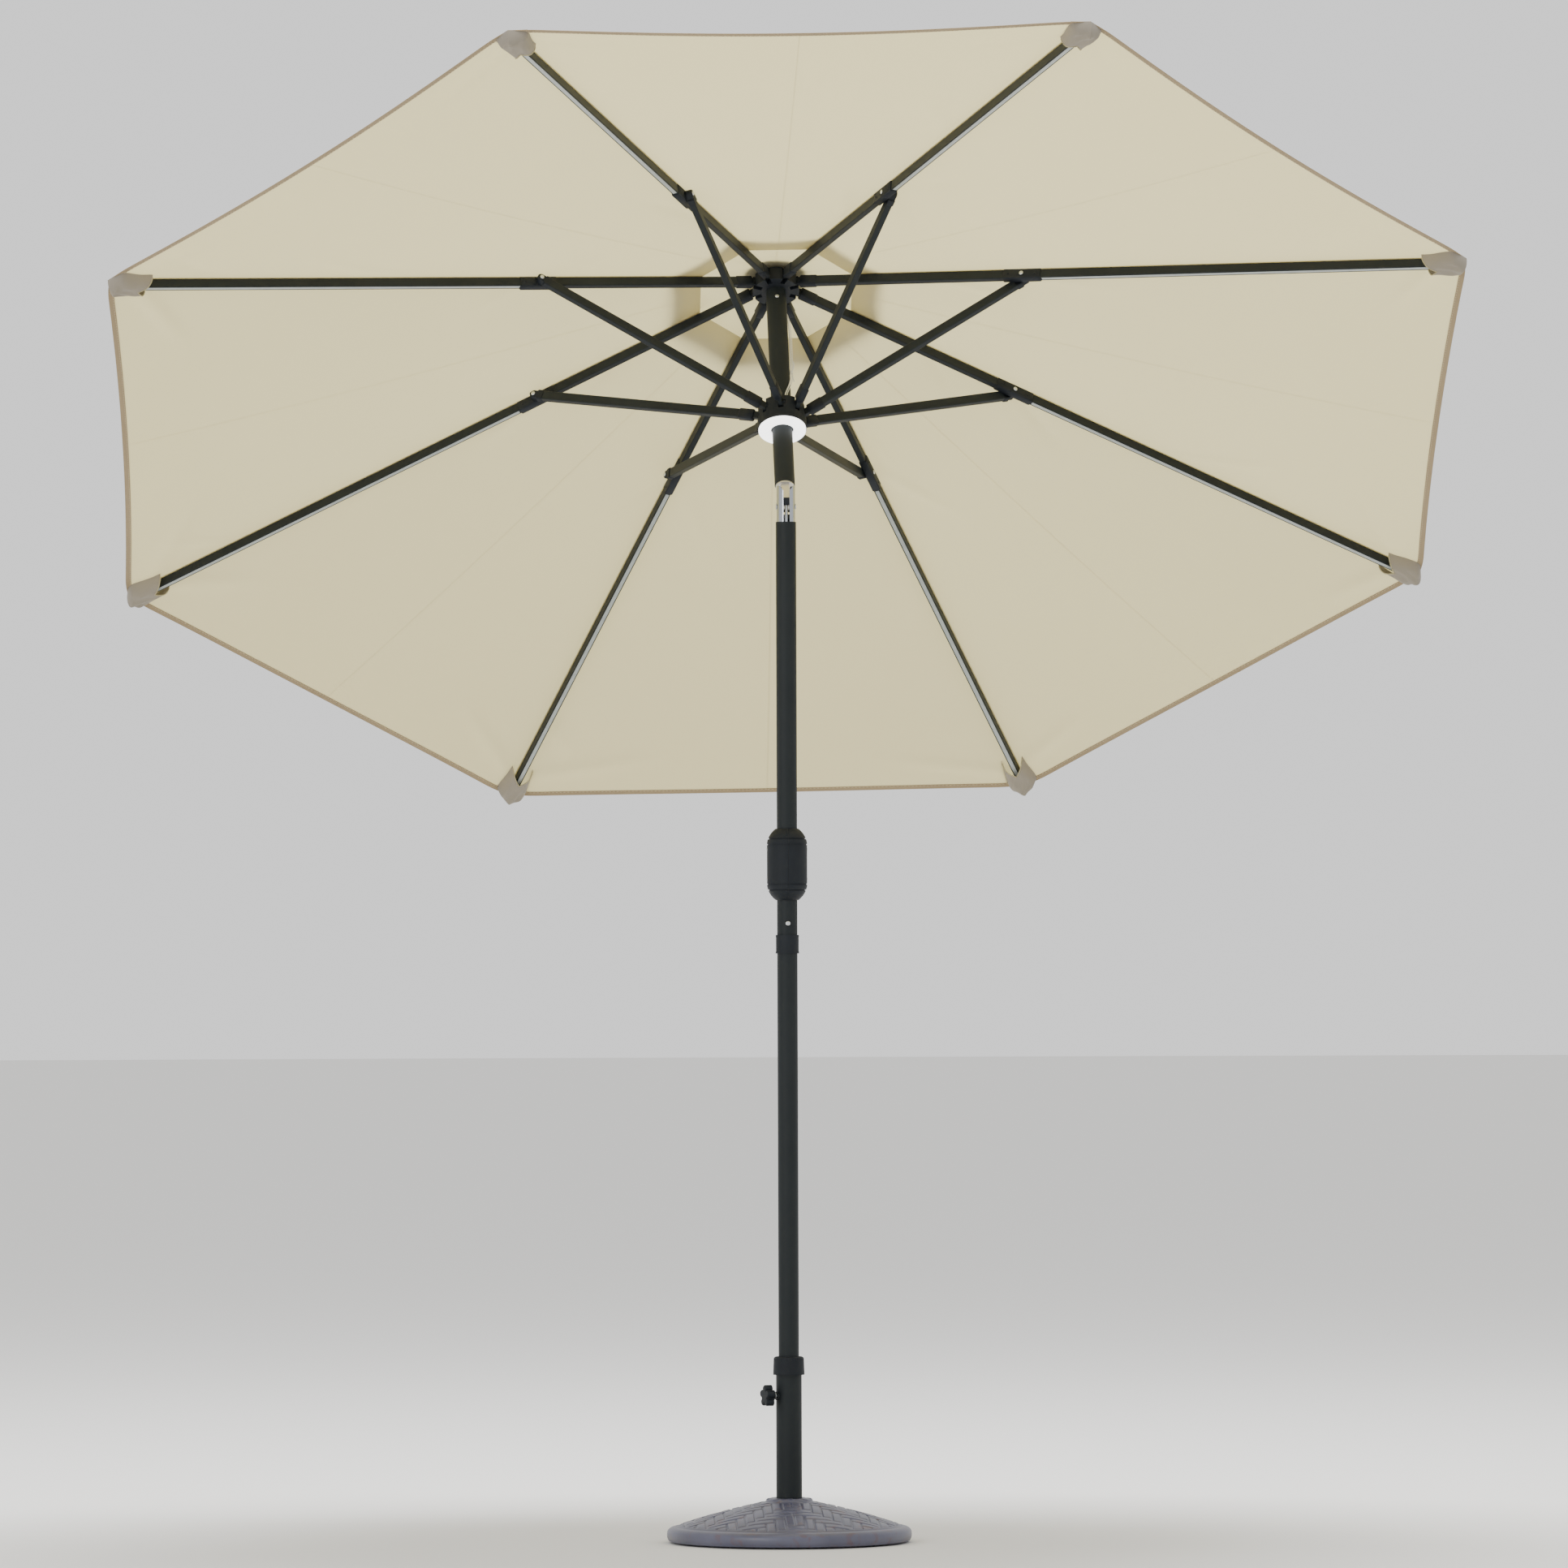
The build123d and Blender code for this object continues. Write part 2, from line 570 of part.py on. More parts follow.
# ---- runner with its ring light ---------------------------------------------
RUNNER_TOP_DOWN = 283.0
SLOT_END_DOWN = 312.0
RUNNER_END_DOWN = 331.0
LENS_R = 44.5
LENS_HOLE_R = 21.5
with BuildPart() as runner:
    with BuildSketch(crown_plane.offset(-RUNNER_END_DOWN)):
        Circle(HUB_R + 2)
    extrude(amount=RUNNER_END_DOWN - SLOT_END_DOWN)
    with BuildSketch(crown_plane.offset(-SLOT_END_DOWN)):
        Circle(HUB_R)
    extrude(amount=SLOT_END_DOWN - RUNNER_TOP_DOWN)
    with BuildSketch(crown_plane.offset(-RUNNER_END_DOWN)):
        Circle(POLE_R + SLIDE_GAP)
    extrude(amount=RUNNER_END_DOWN - RUNNER_TOP_DOWN, mode=Mode.SUBTRACT)
    for number in range(1, RIB_COUNT + 1):
        with BuildSketch(spoke_plane(number).offset(-SLOT_END_DOWN)):
            with Locations((HUB_BORE_R + 15, strut_side)):
                Rectangle(32, SLOT_WIDE)
        extrude(amount=SLOT_END_DOWN - RUNNER_TOP_DOWN + 1, mode=Mode.SUBTRACT)
        with BuildSketch(side_of(strut_frame(number))):
            Circle(HINGE_PIN_R + OPEN_PIVOT_GAP)
        extrude(amount=9, both=True, mode=Mode.SUBTRACT)
save(runner, "runner")

with BuildPart() as led_ring_lens:
    with BuildSketch(crown_plane.offset(-LENS_DOWN)):
        Circle(LENS_R)
        Circle(LENS_HOLE_R, mode=Mode.SUBTRACT)
    extrude(amount=LENS_DOWN - RUNNER_END_DOWN)
    fillet(led_ring_lens.edges().filter_by(GeomType.CIRCLE).group_by(upper_axis)[0], 1.5)
save(led_ring_lens, "led_ring_lens")


# ---- ribs, light strips, struts and canopy sections --------------------------
def make_rib(number):
    """Rolled steel tube with a hinge end, a rivet bracket and an open light channel."""
    frame = rib_frame(number)
    spoke = side_of(frame)
    strip_start = rib_to_rivet + BRACKET_HALF + 2
    with BuildPart() as rib:
        with BuildSketch(section_of(frame, FITTING_START)):
            RectangleRounded(RIB_WIDE, RIB_DEEP, 2)
        extrude(amount=rib_length - FITTING_START)
        with BuildSketch(section_of(frame, FITTING_START)):
            RectangleRounded(RIB_WIDE + 2, RIB_DEEP + 1.6, 2)
        extrude(amount=FITTING_END - FITTING_START)
        with BuildSketch(spoke):
            Circle(TONGUE_R)
            with Locations((FITTING_START / 2, 0)):
                Rectangle(FITTING_START, TONGUE_R * 2)
        extrude(amount=TONGUE_WIDE / 2, both=True)
        with BuildSketch(section_of(frame, rib_to_rivet - BRACKET_HALF)):
            with Locations((0, -0.5)):
                RectangleRounded(BRACKET_HALF_WIDE * 2, RIB_DEEP + 1, 2)
        extrude(amount=BRACKET_HALF * 2)
        for start, end in ((FITTING_END, rib_to_rivet - 20), (rib_to_rivet + 20, rib_length + 1)):
            with BuildSketch(section_of(frame, start)):
                Rectangle(RIB_WIDE - TUBE_WALL * 2, RIB_DEEP - TUBE_WALL * 2)
            extrude(amount=end - start, mode=Mode.SUBTRACT)
        with BuildSketch(section_of(frame, strip_start)):
            with Locations((0, -RIB_DEEP / 2)):
                Rectangle(8, 5)
        extrude(amount=rib_length - strip_start + 1, mode=Mode.SUBTRACT)
        with BuildSketch(spoke):
            Circle(HINGE_PIN_R + PIN_GAP)
        extrude(amount=TONGUE_WIDE, both=True, mode=Mode.SUBTRACT)
        with BuildSketch(side_of(frame, -BRACKET_HALF_WIDE - 1)):
            with Locations((rib_to_rivet, 0)):
                Circle(RIVET_R)
        extrude(amount=-BRACKET_HALF_WIDE - 1 - strut_side - STRUT_WIDE / 2 - 1.8)
        for shift in (-BRACKET_HALF_WIDE, strut_side + STRUT_WIDE / 2 + 1.8):
            with BuildSketch(side_of(frame, shift)):
                with Locations((rib_to_rivet, 0)):
                    Circle(RIVET_R + 1.6)
            extrude(amount=1.5)
    save(rib, f"rib_{number}")


def make_led_strip(number):
    """Diffuser strip pressed into the rib's open channel."""
    frame = rib_frame(number)
    start = rib_to_rivet + BRACKET_HALF + 3
    with BuildPart() as strip:
        with BuildSketch(section_of(frame, start)):
            with Locations((0, -RIB_DEEP / 2 + 2)):
                Rectangle(7.6, 2.8)
        extrude(amount=rib_length - 14 - start)
    save(strip, f"led_strip_{number}")


def make_strut(number):
    """Stretcher from the runner to the rib, lying beside the rib's bracket."""
    frame = strut_frame(number)
    spoke = side_of(frame)
    with BuildPart() as strut:
        with BuildSketch(section_of(frame, FITTING_START)):
            RectangleRounded(STRUT_WIDE, STRUT_DEEP, 2)
        extrude(amount=strut_length - FITTING_START - STRUT_END_R)
        with BuildSketch(section_of(frame, FITTING_START)):
            RectangleRounded(STRUT_WIDE + 1.6, STRUT_DEEP + 2, 2)
        extrude(amount=FITTING_END - FITTING_START - 2)
        with BuildSketch(spoke):
            Circle(TONGUE_R)
            with Locations((FITTING_START / 2, 0)):
                Rectangle(FITTING_START, TONGUE_R * 2)
        extrude(amount=TONGUE_WIDE / 2 - 0.3, both=True)
        with BuildSketch(spoke):
            Circle(HINGE_PIN_R)
        extrude(amount=8.4, both=True)
        with BuildSketch(spoke):
            with Locations((strut_length, 0)):
                Circle(STRUT_END_R)
            with Locations((strut_length - STRUT_END_R, 0)):
                Rectangle(STRUT_END_R * 2, STRUT_END_R * 2)
        extrude(amount=STRUT_WIDE / 2, both=True)
        with BuildSketch(section_of(frame, FITTING_END)):
            Rectangle(STRUT_WIDE - TUBE_WALL * 2, STRUT_DEEP - TUBE_WALL * 2)
        extrude(amount=strut_length - 16 - FITTING_END, mode=Mode.SUBTRACT)
        with BuildSketch(spoke):
            with Locations((strut_length, 0)):
                Circle(RIVET_R + PIN_GAP)
        extrude(amount=STRUT_WIDE, both=True, mode=Mode.SUBTRACT)
    save(strut, f"strut_{number}")


def make_canopy_section(number):
    """Cloth from mid gore to mid gore over one rib, with its part of the vent cap."""
    spoke = spoke_plane(number)
    slope = tan(droop)
    main_up = (RIB_DEEP / 2 + CLOTH_GAP) / cos(droop) + PIVOT_R * slope
    cap_fall = tan(radians(CAP_SLOPE))
    cap_up = CAP_UP + CAP_HOLE_R * cap_fall
    with BuildPart() as section:
        for inner, outer, up, fall in ((VENT_R, CANOPY_R, main_up, slope),
                                       (CAP_HOLE_R, CAP_R, cap_up, cap_fall)):
            for side in (-1, 1):
                corners = []
                for reach, turn in ((inner, 0), (outer, 0), (outer, half_gore), (inner, half_gore)):
                    across = reach * cos(half_gore) if turn else reach
                    corner = Vector(across * cos(turn), side * across * sin(turn), up - fall * reach)
                    corners.append(spoke.from_local_coords(corner))
                face = Face(Wire.make_polygon(corners))
                extrude(face, amount=CLOTH, dir=spoke.z_dir)
    save(section, f"canopy_{number}")


for number in range(1, RIB_COUNT + 1):
    make_rib(number)
    make_led_strip(number)
    make_strut(number)
    make_canopy_section(number)

# ---- lift cord from the pulley, down outside the pole, to the runner -------
CORD_R = 1.3
cord_points = (
    (12.2, 0.0, -PULLEY_DOWN),
    (14.0, -0.5, -56.0),
    (21.3, -1.8, -80.0),
    (22.0, -3.0, -128.0),
    (21.7, -4.6, -208.0),
    (17.6, -14.6, -238.0),
    (6.5, -22.6, -264.0),
    (5.5, -23.6, -RUNNER_TOP_DOWN + 0.1),
)
cord_route = [crown_plane.from_local_coords(Vector(*point)) for point in cord_points]


def bend_radii(route):
    """Largest arc that each corner's two runs leave room for."""
    radii = []
    for before, here, after in zip(route, route[1:], route[2:]):
        shorter = min((here - before).length, (after - here).length)
        turn = radians((here - before).get_angle(after - here))
        radii.append(0.45 * shorter / tan(turn / 2))
    return radii


cord_radii = bend_radii(cord_route)
print("lift cord bend radii, mm:", [round(radius) for radius in cord_radii])
with BuildPart() as lift_cord:
    with BuildLine() as cord_line:
        FilletPolyline(*cord_route, radius=cord_radii)
    with BuildSketch(Plane(cord_line.line @ 0, z_dir=cord_line.line % 0)):
        Circle(CORD_R)
    sweep()
print("lift cord length, mm:", round(sum(edge.length for edge in cord_line.edges())))
save(lift_cord, "lift_cord")
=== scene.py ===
"""Patio umbrella with a cast base: finishes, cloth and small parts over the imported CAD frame."""
import json
import math

import bmesh
import bpy
import numpy as np
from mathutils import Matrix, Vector


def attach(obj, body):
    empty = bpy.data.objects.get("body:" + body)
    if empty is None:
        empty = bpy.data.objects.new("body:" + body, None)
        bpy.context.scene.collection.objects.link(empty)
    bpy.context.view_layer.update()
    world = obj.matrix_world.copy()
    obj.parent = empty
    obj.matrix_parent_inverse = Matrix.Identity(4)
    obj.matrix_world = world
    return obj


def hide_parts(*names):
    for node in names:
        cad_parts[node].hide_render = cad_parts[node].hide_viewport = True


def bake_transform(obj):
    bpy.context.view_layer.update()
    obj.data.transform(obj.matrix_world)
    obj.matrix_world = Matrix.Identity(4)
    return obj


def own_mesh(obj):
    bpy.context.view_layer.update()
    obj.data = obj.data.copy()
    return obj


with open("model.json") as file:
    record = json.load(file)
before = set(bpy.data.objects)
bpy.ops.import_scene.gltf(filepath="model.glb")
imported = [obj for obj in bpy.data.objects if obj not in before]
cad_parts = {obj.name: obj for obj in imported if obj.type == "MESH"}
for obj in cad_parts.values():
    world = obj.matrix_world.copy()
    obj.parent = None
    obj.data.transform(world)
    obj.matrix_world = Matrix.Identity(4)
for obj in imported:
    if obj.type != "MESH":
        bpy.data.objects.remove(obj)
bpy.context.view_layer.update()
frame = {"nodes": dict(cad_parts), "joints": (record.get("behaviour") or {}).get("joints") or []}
cad_part = frame["nodes"]
joint = {j["name"]: j for j in frame["joints"]}

# ---- Cast base slab ----------------------------------------------------------------------------
# A heavy dome of resin-bound stone, cast upside down in a mould whose floor carries flat
# strips laid herringbone, the same in each quarter. The rim is smooth. It is painted after.
MM = 0.001
DOME_OUT, DOME_MID, DOME_IN = (0.213, 0.0300), (0.130, 0.0555), (0.045, 0.076)
STRIP_WIDE = 0.0178
STRIP_LONG = 3  # in strip widths
STRIP_JOINT = 0.0022
STRIP_SLOPE = 0.0016
STRIP_HIGH = 0.0024
WEAVE_OUT, WEAVE_IN = 0.205, 0.050
SLAB_PITCH = 0.00165
SLAB_ROUND = 256


def srgb(code):
    """Linear colour of a paint code written #rrggbb."""
    parts = [int(code[i:i + 2], 16) / 255 for i in (1, 3, 5)]
    return tuple(c / 12.92 if c <= 0.04045 else ((c + 0.055) / 1.055) ** 2.4 for c in parts) + (1.0,)


def new_finish(name):
    """An empty material."""
    finish = bpy.data.materials.new(name)
    finish.use_nodes = True
    finish.node_tree.nodes.clear()
    return finish


def add(finish, kind, inputs=None, **settings):
    """Adds a shader node. Each input takes a value, or another node's output to link."""
    made = finish.node_tree.nodes.new(kind)
    for name, value in settings.items():
        setattr(made, name, value)
    for name, value in (inputs or {}).items():
        if isinstance(value, bpy.types.NodeSocket):
            finish.node_tree.links.new(value, made.inputs[name])
        else:
            made.inputs[name].default_value = value
    return made


def close_up(mesh):
    """Merges doubles, turns every face outwards and shades smooth across gentle edges."""
    work = bmesh.new()
    work.from_mesh(mesh)
    bmesh.ops.remove_doubles(work, verts=work.verts, dist=1e-6)
    bmesh.ops.recalc_face_normals(work, faces=work.faces)
    work.to_mesh(mesh)
    work.free()
    mesh.shade_smooth()
    mesh.set_sharp_from_angle(angle=math.radians(38))


def make_piece(name, points, faces, finish, body, slot):
    """A piece from its points and faces, in its finish, riding on a body."""
    mesh = bpy.data.meshes.new(name)
    mesh.from_pydata(np.asarray(points, float).reshape(-1, 3).tolist(), [], faces)
    close_up(mesh)
    piece = bpy.data.objects.new(name, mesh)
    bpy.context.scene.collection.objects.link(piece)
    mesh.materials.append(finish)
    if body:
        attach(piece, body)
    return piece


def ring_faces(rings, round_count, first=0, closed=False):
    """Faces between rings of the same number of points."""
    faces = []
    for ring in range(rings if closed else rings - 1):
        here, there = first + ring * round_count, first + (ring + 1) % rings * round_count
        for i in range(round_count):
            j = (i + 1) % round_count
            faces.append((here + i, here + j, there + j, there + i))
    return faces


def zip_rings(inner, inner_turn, outer, outer_turn):
    """Triangles between two rings whose points don't match, both in order of their turn."""
    faces, i, j = [], 0, 0
    while i < len(inner) or j < len(outer):
        a, b = inner[i % len(inner)], outer[j % len(outer)]
        next_i = inner_turn[i] if i < len(inner) else math.inf
        next_j = outer_turn[j] if j < len(outer) else math.inf
        if next_i <= next_j:
            faces.append((a, b, inner[(i + 1) % len(inner)]))
            i += 1
        else:
            faces.append((a, b, outer[(j + 1) % len(outer)]))
            j += 1
    return faces


def dome_height(reach):
    """Height of the plain dome at a distance from its middle: an arc through three points."""
    known = np.array([DOME_OUT, DOME_MID, DOME_IN])
    middle = np.linalg.solve(2 * (known[1:] - known[0]), (known[1:] ** 2 - known[0] ** 2).sum(axis=1))
    return middle[1] + np.sqrt(((known[0] - middle) ** 2).sum() - (reach - middle[0]) ** 2)


def herringbone(x, y):
    """1 on the face of a strip and 0 in the joint, with each strip arched to its ends."""
    column, row = np.abs(x) / STRIP_WIDE, np.abs(y) / STRIP_WIDE
    step = np.mod(np.floor(column) - np.floor(row), 2 * STRIP_LONG)
    flat = step < STRIP_LONG
    column, row = np.mod(column, 1), np.mod(row, 1)
    along = np.where(flat, step + column, 2 * STRIP_LONG - 1 - step + row)
    across = np.where(flat, row, column)
    edge = np.minimum(np.minimum(along, STRIP_LONG - along), np.minimum(across, 1 - across))
    rise = np.clip((edge * STRIP_WIDE - STRIP_JOINT / 2) / STRIP_SLOPE, 0, 1)
    arch = 0.7 + 0.3 * np.sin(np.pi * along / STRIP_LONG)
    return rise * rise * (3 - 2 * rise) * arch


steps = int(WEAVE_OUT / SLAB_PITCH) + 1
line = (np.arange(-steps, steps + 1)) * SLAB_PITCH
grid_x, grid_y = np.meshgrid(line, line, indexing="ij")
cell_x, cell_y = grid_x[:-1, :-1] + SLAB_PITCH / 2, grid_y[:-1, :-1] + SLAB_PITCH / 2
cell_reach = np.hypot(cell_x, cell_y)
kept = (cell_reach < WEAVE_OUT - SLAB_PITCH) & (cell_reach > WEAVE_IN + SLAB_PITCH)
uses = np.zeros(grid_x.shape, int)
for di in (0, 1):
    for dj in (0, 1):
        uses[di:di + kept.shape[0], dj:dj + kept.shape[1]] += kept
corner_number = np.full(grid_x.shape, -1)
corner_number[uses > 0] = np.arange((uses > 0).sum())
reach = np.hypot(grid_x, grid_y)
edge_out = (uses > 0) & (uses < 4) & (reach > 0.1)
edge_in = (uses > 0) & (uses < 4) & (reach < 0.1)
pull = np.where(edge_out, WEAVE_OUT / np.maximum(reach, MM), 1)
pull = pull * np.where(edge_in, WEAVE_IN / np.maximum(reach, MM), 1)
flat_x, flat_y = grid_x * pull, grid_y * pull
flat_reach = np.hypot(flat_x, flat_y)
fade = np.clip(np.minimum(WEAVE_OUT - flat_reach, flat_reach - WEAVE_IN) / 0.003, 0, 1)
weave_high = fade * STRIP_HIGH * (herringbone(flat_x, flat_y) - 0.55)
height = dome_height(np.clip(flat_reach, DOME_IN[0], DOME_OUT[0])) + weave_high
slab_points = np.stack([flat_x, flat_y, height], axis=-1)[uses > 0].tolist()
slab_faces = [(int(corner_number[i, j]), int(corner_number[i + 1, j]),
               int(corner_number[i + 1, j + 1]), int(corner_number[i, j + 1]))
              for i, j in zip(*np.nonzero(kept))]
slab_turns = np.arange(SLAB_ROUND) * 2 * math.pi / SLAB_ROUND


def rim_profile():
    """The smooth band, round rim, underside, bore and top ring, as distance and height."""
    turn = np.linspace(0, math.pi / 2, 7)
    band = [(r, float(dome_height(r)) - low) for r, low in ((0.2068, 0), (0.2084, 0.0014), (0.2098, 0.0014),
                                                            (0.2114, -0.0002))]
    shoulder = [(0.213 + 0.0150 * math.sin(a), 0.0185 + 0.0115 * math.cos(a)) for a in turn[:-1]]
    wall = [(0.2280, 0.0175), (0.2280, 0.0125), (0.2272, 0.0085), (0.2250, 0.0045), (0.2210, 0.0030)]
    under = [(0.150, 0.0030), (0.0703, 0.0030), (0.0703, 0.0083), (0.0242, 0.0083)]
    top = [(0.0242, 0.0790), (0.0250, 0.0800), (0.0415, 0.0800), (0.0425, 0.0795), (0.0432, 0.0785),
           (0.0445, 0.0768), (0.0470, 0.0758)]
    return band + shoulder + wall + under + top


rim = rim_profile()
first_ring = len(slab_points)
for out, up in rim:
    slab_points += [(out * math.cos(a), out * math.sin(a), up) for a in slab_turns]
slab_faces += ring_faces(len(rim), SLAB_ROUND, first_ring)
for marked, ring in ((edge_out, 0), (edge_in, len(rim) - 1)):
    spots = [(math.atan2(flat_y[i, j], flat_x[i, j]) % (2 * math.pi), int(corner_number[i, j]))
             for i, j in zip(*np.nonzero(marked))]
    spots.sort()
    ring_numbers = [first_ring + ring * SLAB_ROUND + i for i in range(SLAB_ROUND)]
    slab_faces += zip_rings([n for _, n in spots], [a for a, _ in spots], ring_numbers, slab_turns.tolist())

# Resin paint: a satin near-black, lifted to lilac-blue as painted sky reflection, worn to brown in a few
# streaks.
resin = new_finish("painted_cast_resin")
where = add(resin, "ShaderNodeTexCoord")
mottle = add(resin, "ShaderNodeTexNoise", {"Vector": where.outputs["Object"], "Scale": 16.0, "Detail": 5.0})
streaks = add(resin, "ShaderNodeTexNoise", {"Vector": where.outputs["Object"], "Scale": 31.0, "Detail": 3.0,
                                            "Distortion": 1.6})
worn = add(resin, "ShaderNodeMapRange", {"Value": streaks.outputs["Fac"], "From Min": 0.56, "From Max": 0.70,
                                         "To Max": 0.55})
# Both ends of this mix are tinted lilac-blue as painted reflection of a blue sky; the mottle is random tone.
tone = add(resin, "ShaderNodeMix", {0: mottle.outputs["Fac"], 6: srgb("#3a3b4b"), 7: srgb("#5f6074")},
           data_type="RGBA")
sky_tinted_and_worn = add(resin, "ShaderNodeMix", {0: worn.outputs["Result"], 6: tone.outputs[2], 7: srgb("#5a4142")},
            data_type="RGBA")
pores = add(resin, "ShaderNodeTexNoise", {"Vector": where.outputs["Object"], "Scale": 900.0, "Detail": 2.0})
grain = add(resin, "ShaderNodeBump", {"Height": pores.outputs["Fac"], "Strength": 0.25, "Distance": 0.0004})
coat = add(resin, "ShaderNodeBsdfPrincipled", {"Base Color": sky_tinted_and_worn.outputs[2], "Roughness": 0.38, "IOR": 1.55,
                                               "Normal": grain.outputs["Normal"]})
add(resin, "ShaderNodeOutputMaterial", {"Surface": coat.outputs["BSDF"]})
base_slab = make_piece("cast_base_slab", slab_points, slab_faces, resin, "root", "cast_resin")
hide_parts("base_slab")

# ---- Foot ring ---------------------------------------------------------------------------------
# The raised collar round the bottom of the tube, cast in one with the dome: a rounded ring
# with eight low lugs where the mould is keyed. It hides the joint between tube and slab.
FOOT_RING_IN, FOOT_RING_OUT, FOOT_RING_LUG = 0.0262, 0.0405, 0.0030
FOOT_RING_LOW, FOOT_RING_HIGH = 0.0780, 0.0826
turns = np.arange(96) * 2 * math.pi / 96
lug = np.clip(np.cos(8 * turns) * 1.6, 0, 1)
foot_rings = []
for share, up in ((0, 0), (0, 0.75), (0.12, 0.95), (0.45, 1), (0.8, 0.8), (0.95, 0.5), (1, 0)):
    out = FOOT_RING_IN + share * (FOOT_RING_OUT + FOOT_RING_LUG * lug - FOOT_RING_IN)
    level = FOOT_RING_LOW + up * (FOOT_RING_HIGH - FOOT_RING_LOW + 0.0012 * lug * share)
    foot_rings.append(np.stack([out * np.cos(turns), out * np.sin(turns), level + 0 * turns], axis=-1))
make_piece("foot_ring", foot_rings, ring_faces(len(foot_rings), 96, closed=True), resin, "root", "cast_resin")

# ---- Rubber feet -------------------------------------------------------------------------------
# Four moulded pads and a middle pad pressed under the slab, so that the stone doesn't mark
# the paving. Black rubber with a dusty bloom.
rubber = new_finish("moulded_black_rubber")
where = add(rubber, "ShaderNodeTexCoord")
bloom = add(rubber, "ShaderNodeTexNoise", {"Vector": where.outputs["Object"], "Scale": 120.0, "Detail": 4.0})
dusty = add(rubber, "ShaderNodeMix", {0: bloom.outputs["Fac"], 6: srgb("#161616"), 7: srgb("#2b2a28")},
            data_type="RGBA")
pad = add(rubber, "ShaderNodeBsdfPrincipled", {"Base Color": dusty.outputs[2], "Roughness": 0.8, "IOR": 1.52})
add(rubber, "ShaderNodeOutputMaterial", {"Surface": pad.outputs["BSDF"]})


def dress(finish, *names):
    """Gives CAD parts their finish through their objects' own slots."""
    for name in names:
        for held in cad_part[name].material_slots:
            held.link = "OBJECT"
            held.material = finish


dress(rubber, "base_feet")

# ---- Poles -------------------------------------------------------------------------------------
# Rolled steel tube, powder coated in charcoal. The baked powder leaves a fine orange peel and
# a satin sheen. The base tube has the same coat over a thicker wall.
powder = new_finish("charcoal_powder_coat")
where = add(powder, "ShaderNodeTexCoord")
# The peel is about 1.4 mm across.
peel = add(powder, "ShaderNodeTexNoise", {"Vector": where.outputs["Object"], "Scale": 700.0, "Detail": 2.0})
handled = add(powder, "ShaderNodeTexNoise", {"Vector": where.outputs["Object"], "Scale": 9.0, "Detail": 4.0})
shade = add(powder, "ShaderNodeMix", {0: handled.outputs["Fac"], 6: srgb("#181c1e"), 7: srgb("#23282a")},
            data_type="RGBA")
satin = add(powder, "ShaderNodeMapRange", {"Value": handled.outputs["Fac"], "To Min": 0.46, "To Max": 0.60})
orange_peel = add(powder, "ShaderNodeBump", {"Height": peel.outputs["Fac"], "Strength": 0.22,
                                             "Distance": 0.0003})
coat = add(powder, "ShaderNodeBsdfPrincipled", {"Base Color": shade.outputs[2], "Specular IOR Level": 0.18,
                                                "Roughness": satin.outputs["Result"],
                                                "Normal": orange_peel.outputs["Normal"]})
add(powder, "ShaderNodeOutputMaterial", {"Surface": coat.outputs["BSDF"]})
dress(powder, "base_tube", "lower_pole", "mid_pole", "upper_pole", "crank_arm")
dress(powder, *[f"{part}_{k}" for part in ("rib", "strut") for k in range(1, 9)])

# ---- Collars, hubs and housings ----------------------------------------------------------------
# Black nylon mouldings: the fluted base collar, the joint collar, the crank housing and grip,
# the crown, the runner and the solar cap. The mould is spark eroded, so they are finely matte.
nylon = new_finish("black_moulded_nylon")
where = add(nylon, "ShaderNodeTexCoord")
sparks = add(nylon, "ShaderNodeTexNoise", {"Vector": where.outputs["Object"], "Scale": 1100.0, "Detail": 1.0})
flow = add(nylon, "ShaderNodeTexNoise", {"Vector": where.outputs["Object"], "Scale": 26.0, "Detail": 3.0})
shade = add(nylon, "ShaderNodeMix", {0: flow.outputs["Fac"], 6: srgb("#11151a"), 7: srgb("#1b2026")},
            data_type="RGBA")
eroded = add(nylon, "ShaderNodeBump", {"Height": sparks.outputs["Fac"], "Strength": 0.3, "Distance": 0.0002})
skin = add(nylon, "ShaderNodeBsdfPrincipled", {"Base Color": shade.outputs[2], "Roughness": 0.60, "IOR": 1.53,
                                               "Specular IOR Level": 0.2,
                                               "Normal": eroded.outputs["Normal"]})
add(nylon, "ShaderNodeOutputMaterial", {"Surface": skin.outputs["BSDF"]})
dress(nylon, "base_collar", "mid_collar", "base_knob", "crank_housing_left", "crank_housing_right",
      "crank_grip", "crown", "runner", "solar_housing", "lift_pulley", "tilt_latch")

# ---- Clamp knob's stud -------------------------------------------------------------------------
# A zinc-plated M8 screw moulded into the lobed knob. A short run of bright thread shows between
# the knob and the boss of the base tube.
STUD_R, STUD_THREAD = 0.0048, 0.00125
STUD_FROM, STUD_TO = 0.0263, 0.0308
zinc = new_finish("zinc_plated_steel")
where = add(zinc, "ShaderNodeTexCoord")
spangle = add(zinc, "ShaderNodeTexNoise", {"Vector": where.outputs["Object"], "Scale": 260.0, "Detail": 3.0})
haze = add(zinc, "ShaderNodeMapRange", {"Value": spangle.outputs["Fac"], "To Min": 0.24, "To Max": 0.40})
plate = add(zinc, "ShaderNodeBsdfPrincipled", {"Base Color": srgb("#c9ccce"), "Metallic": 1.0,
                                               "Roughness": haze.outputs["Result"]})
add(zinc, "ShaderNodeOutputMaterial", {"Surface": plate.outputs["BSDF"]})
dress(zinc, "snap_button", "tilt_pin", "crown_pins", "crank_spool", "pole_joiner")

knob_out = Vector(joint["base_knob_turn"]["axis"])
knob_height = joint["base_knob_turn"]["pos_m"][2]
knob_side = Vector((0, 0, 1)).cross(knob_out)


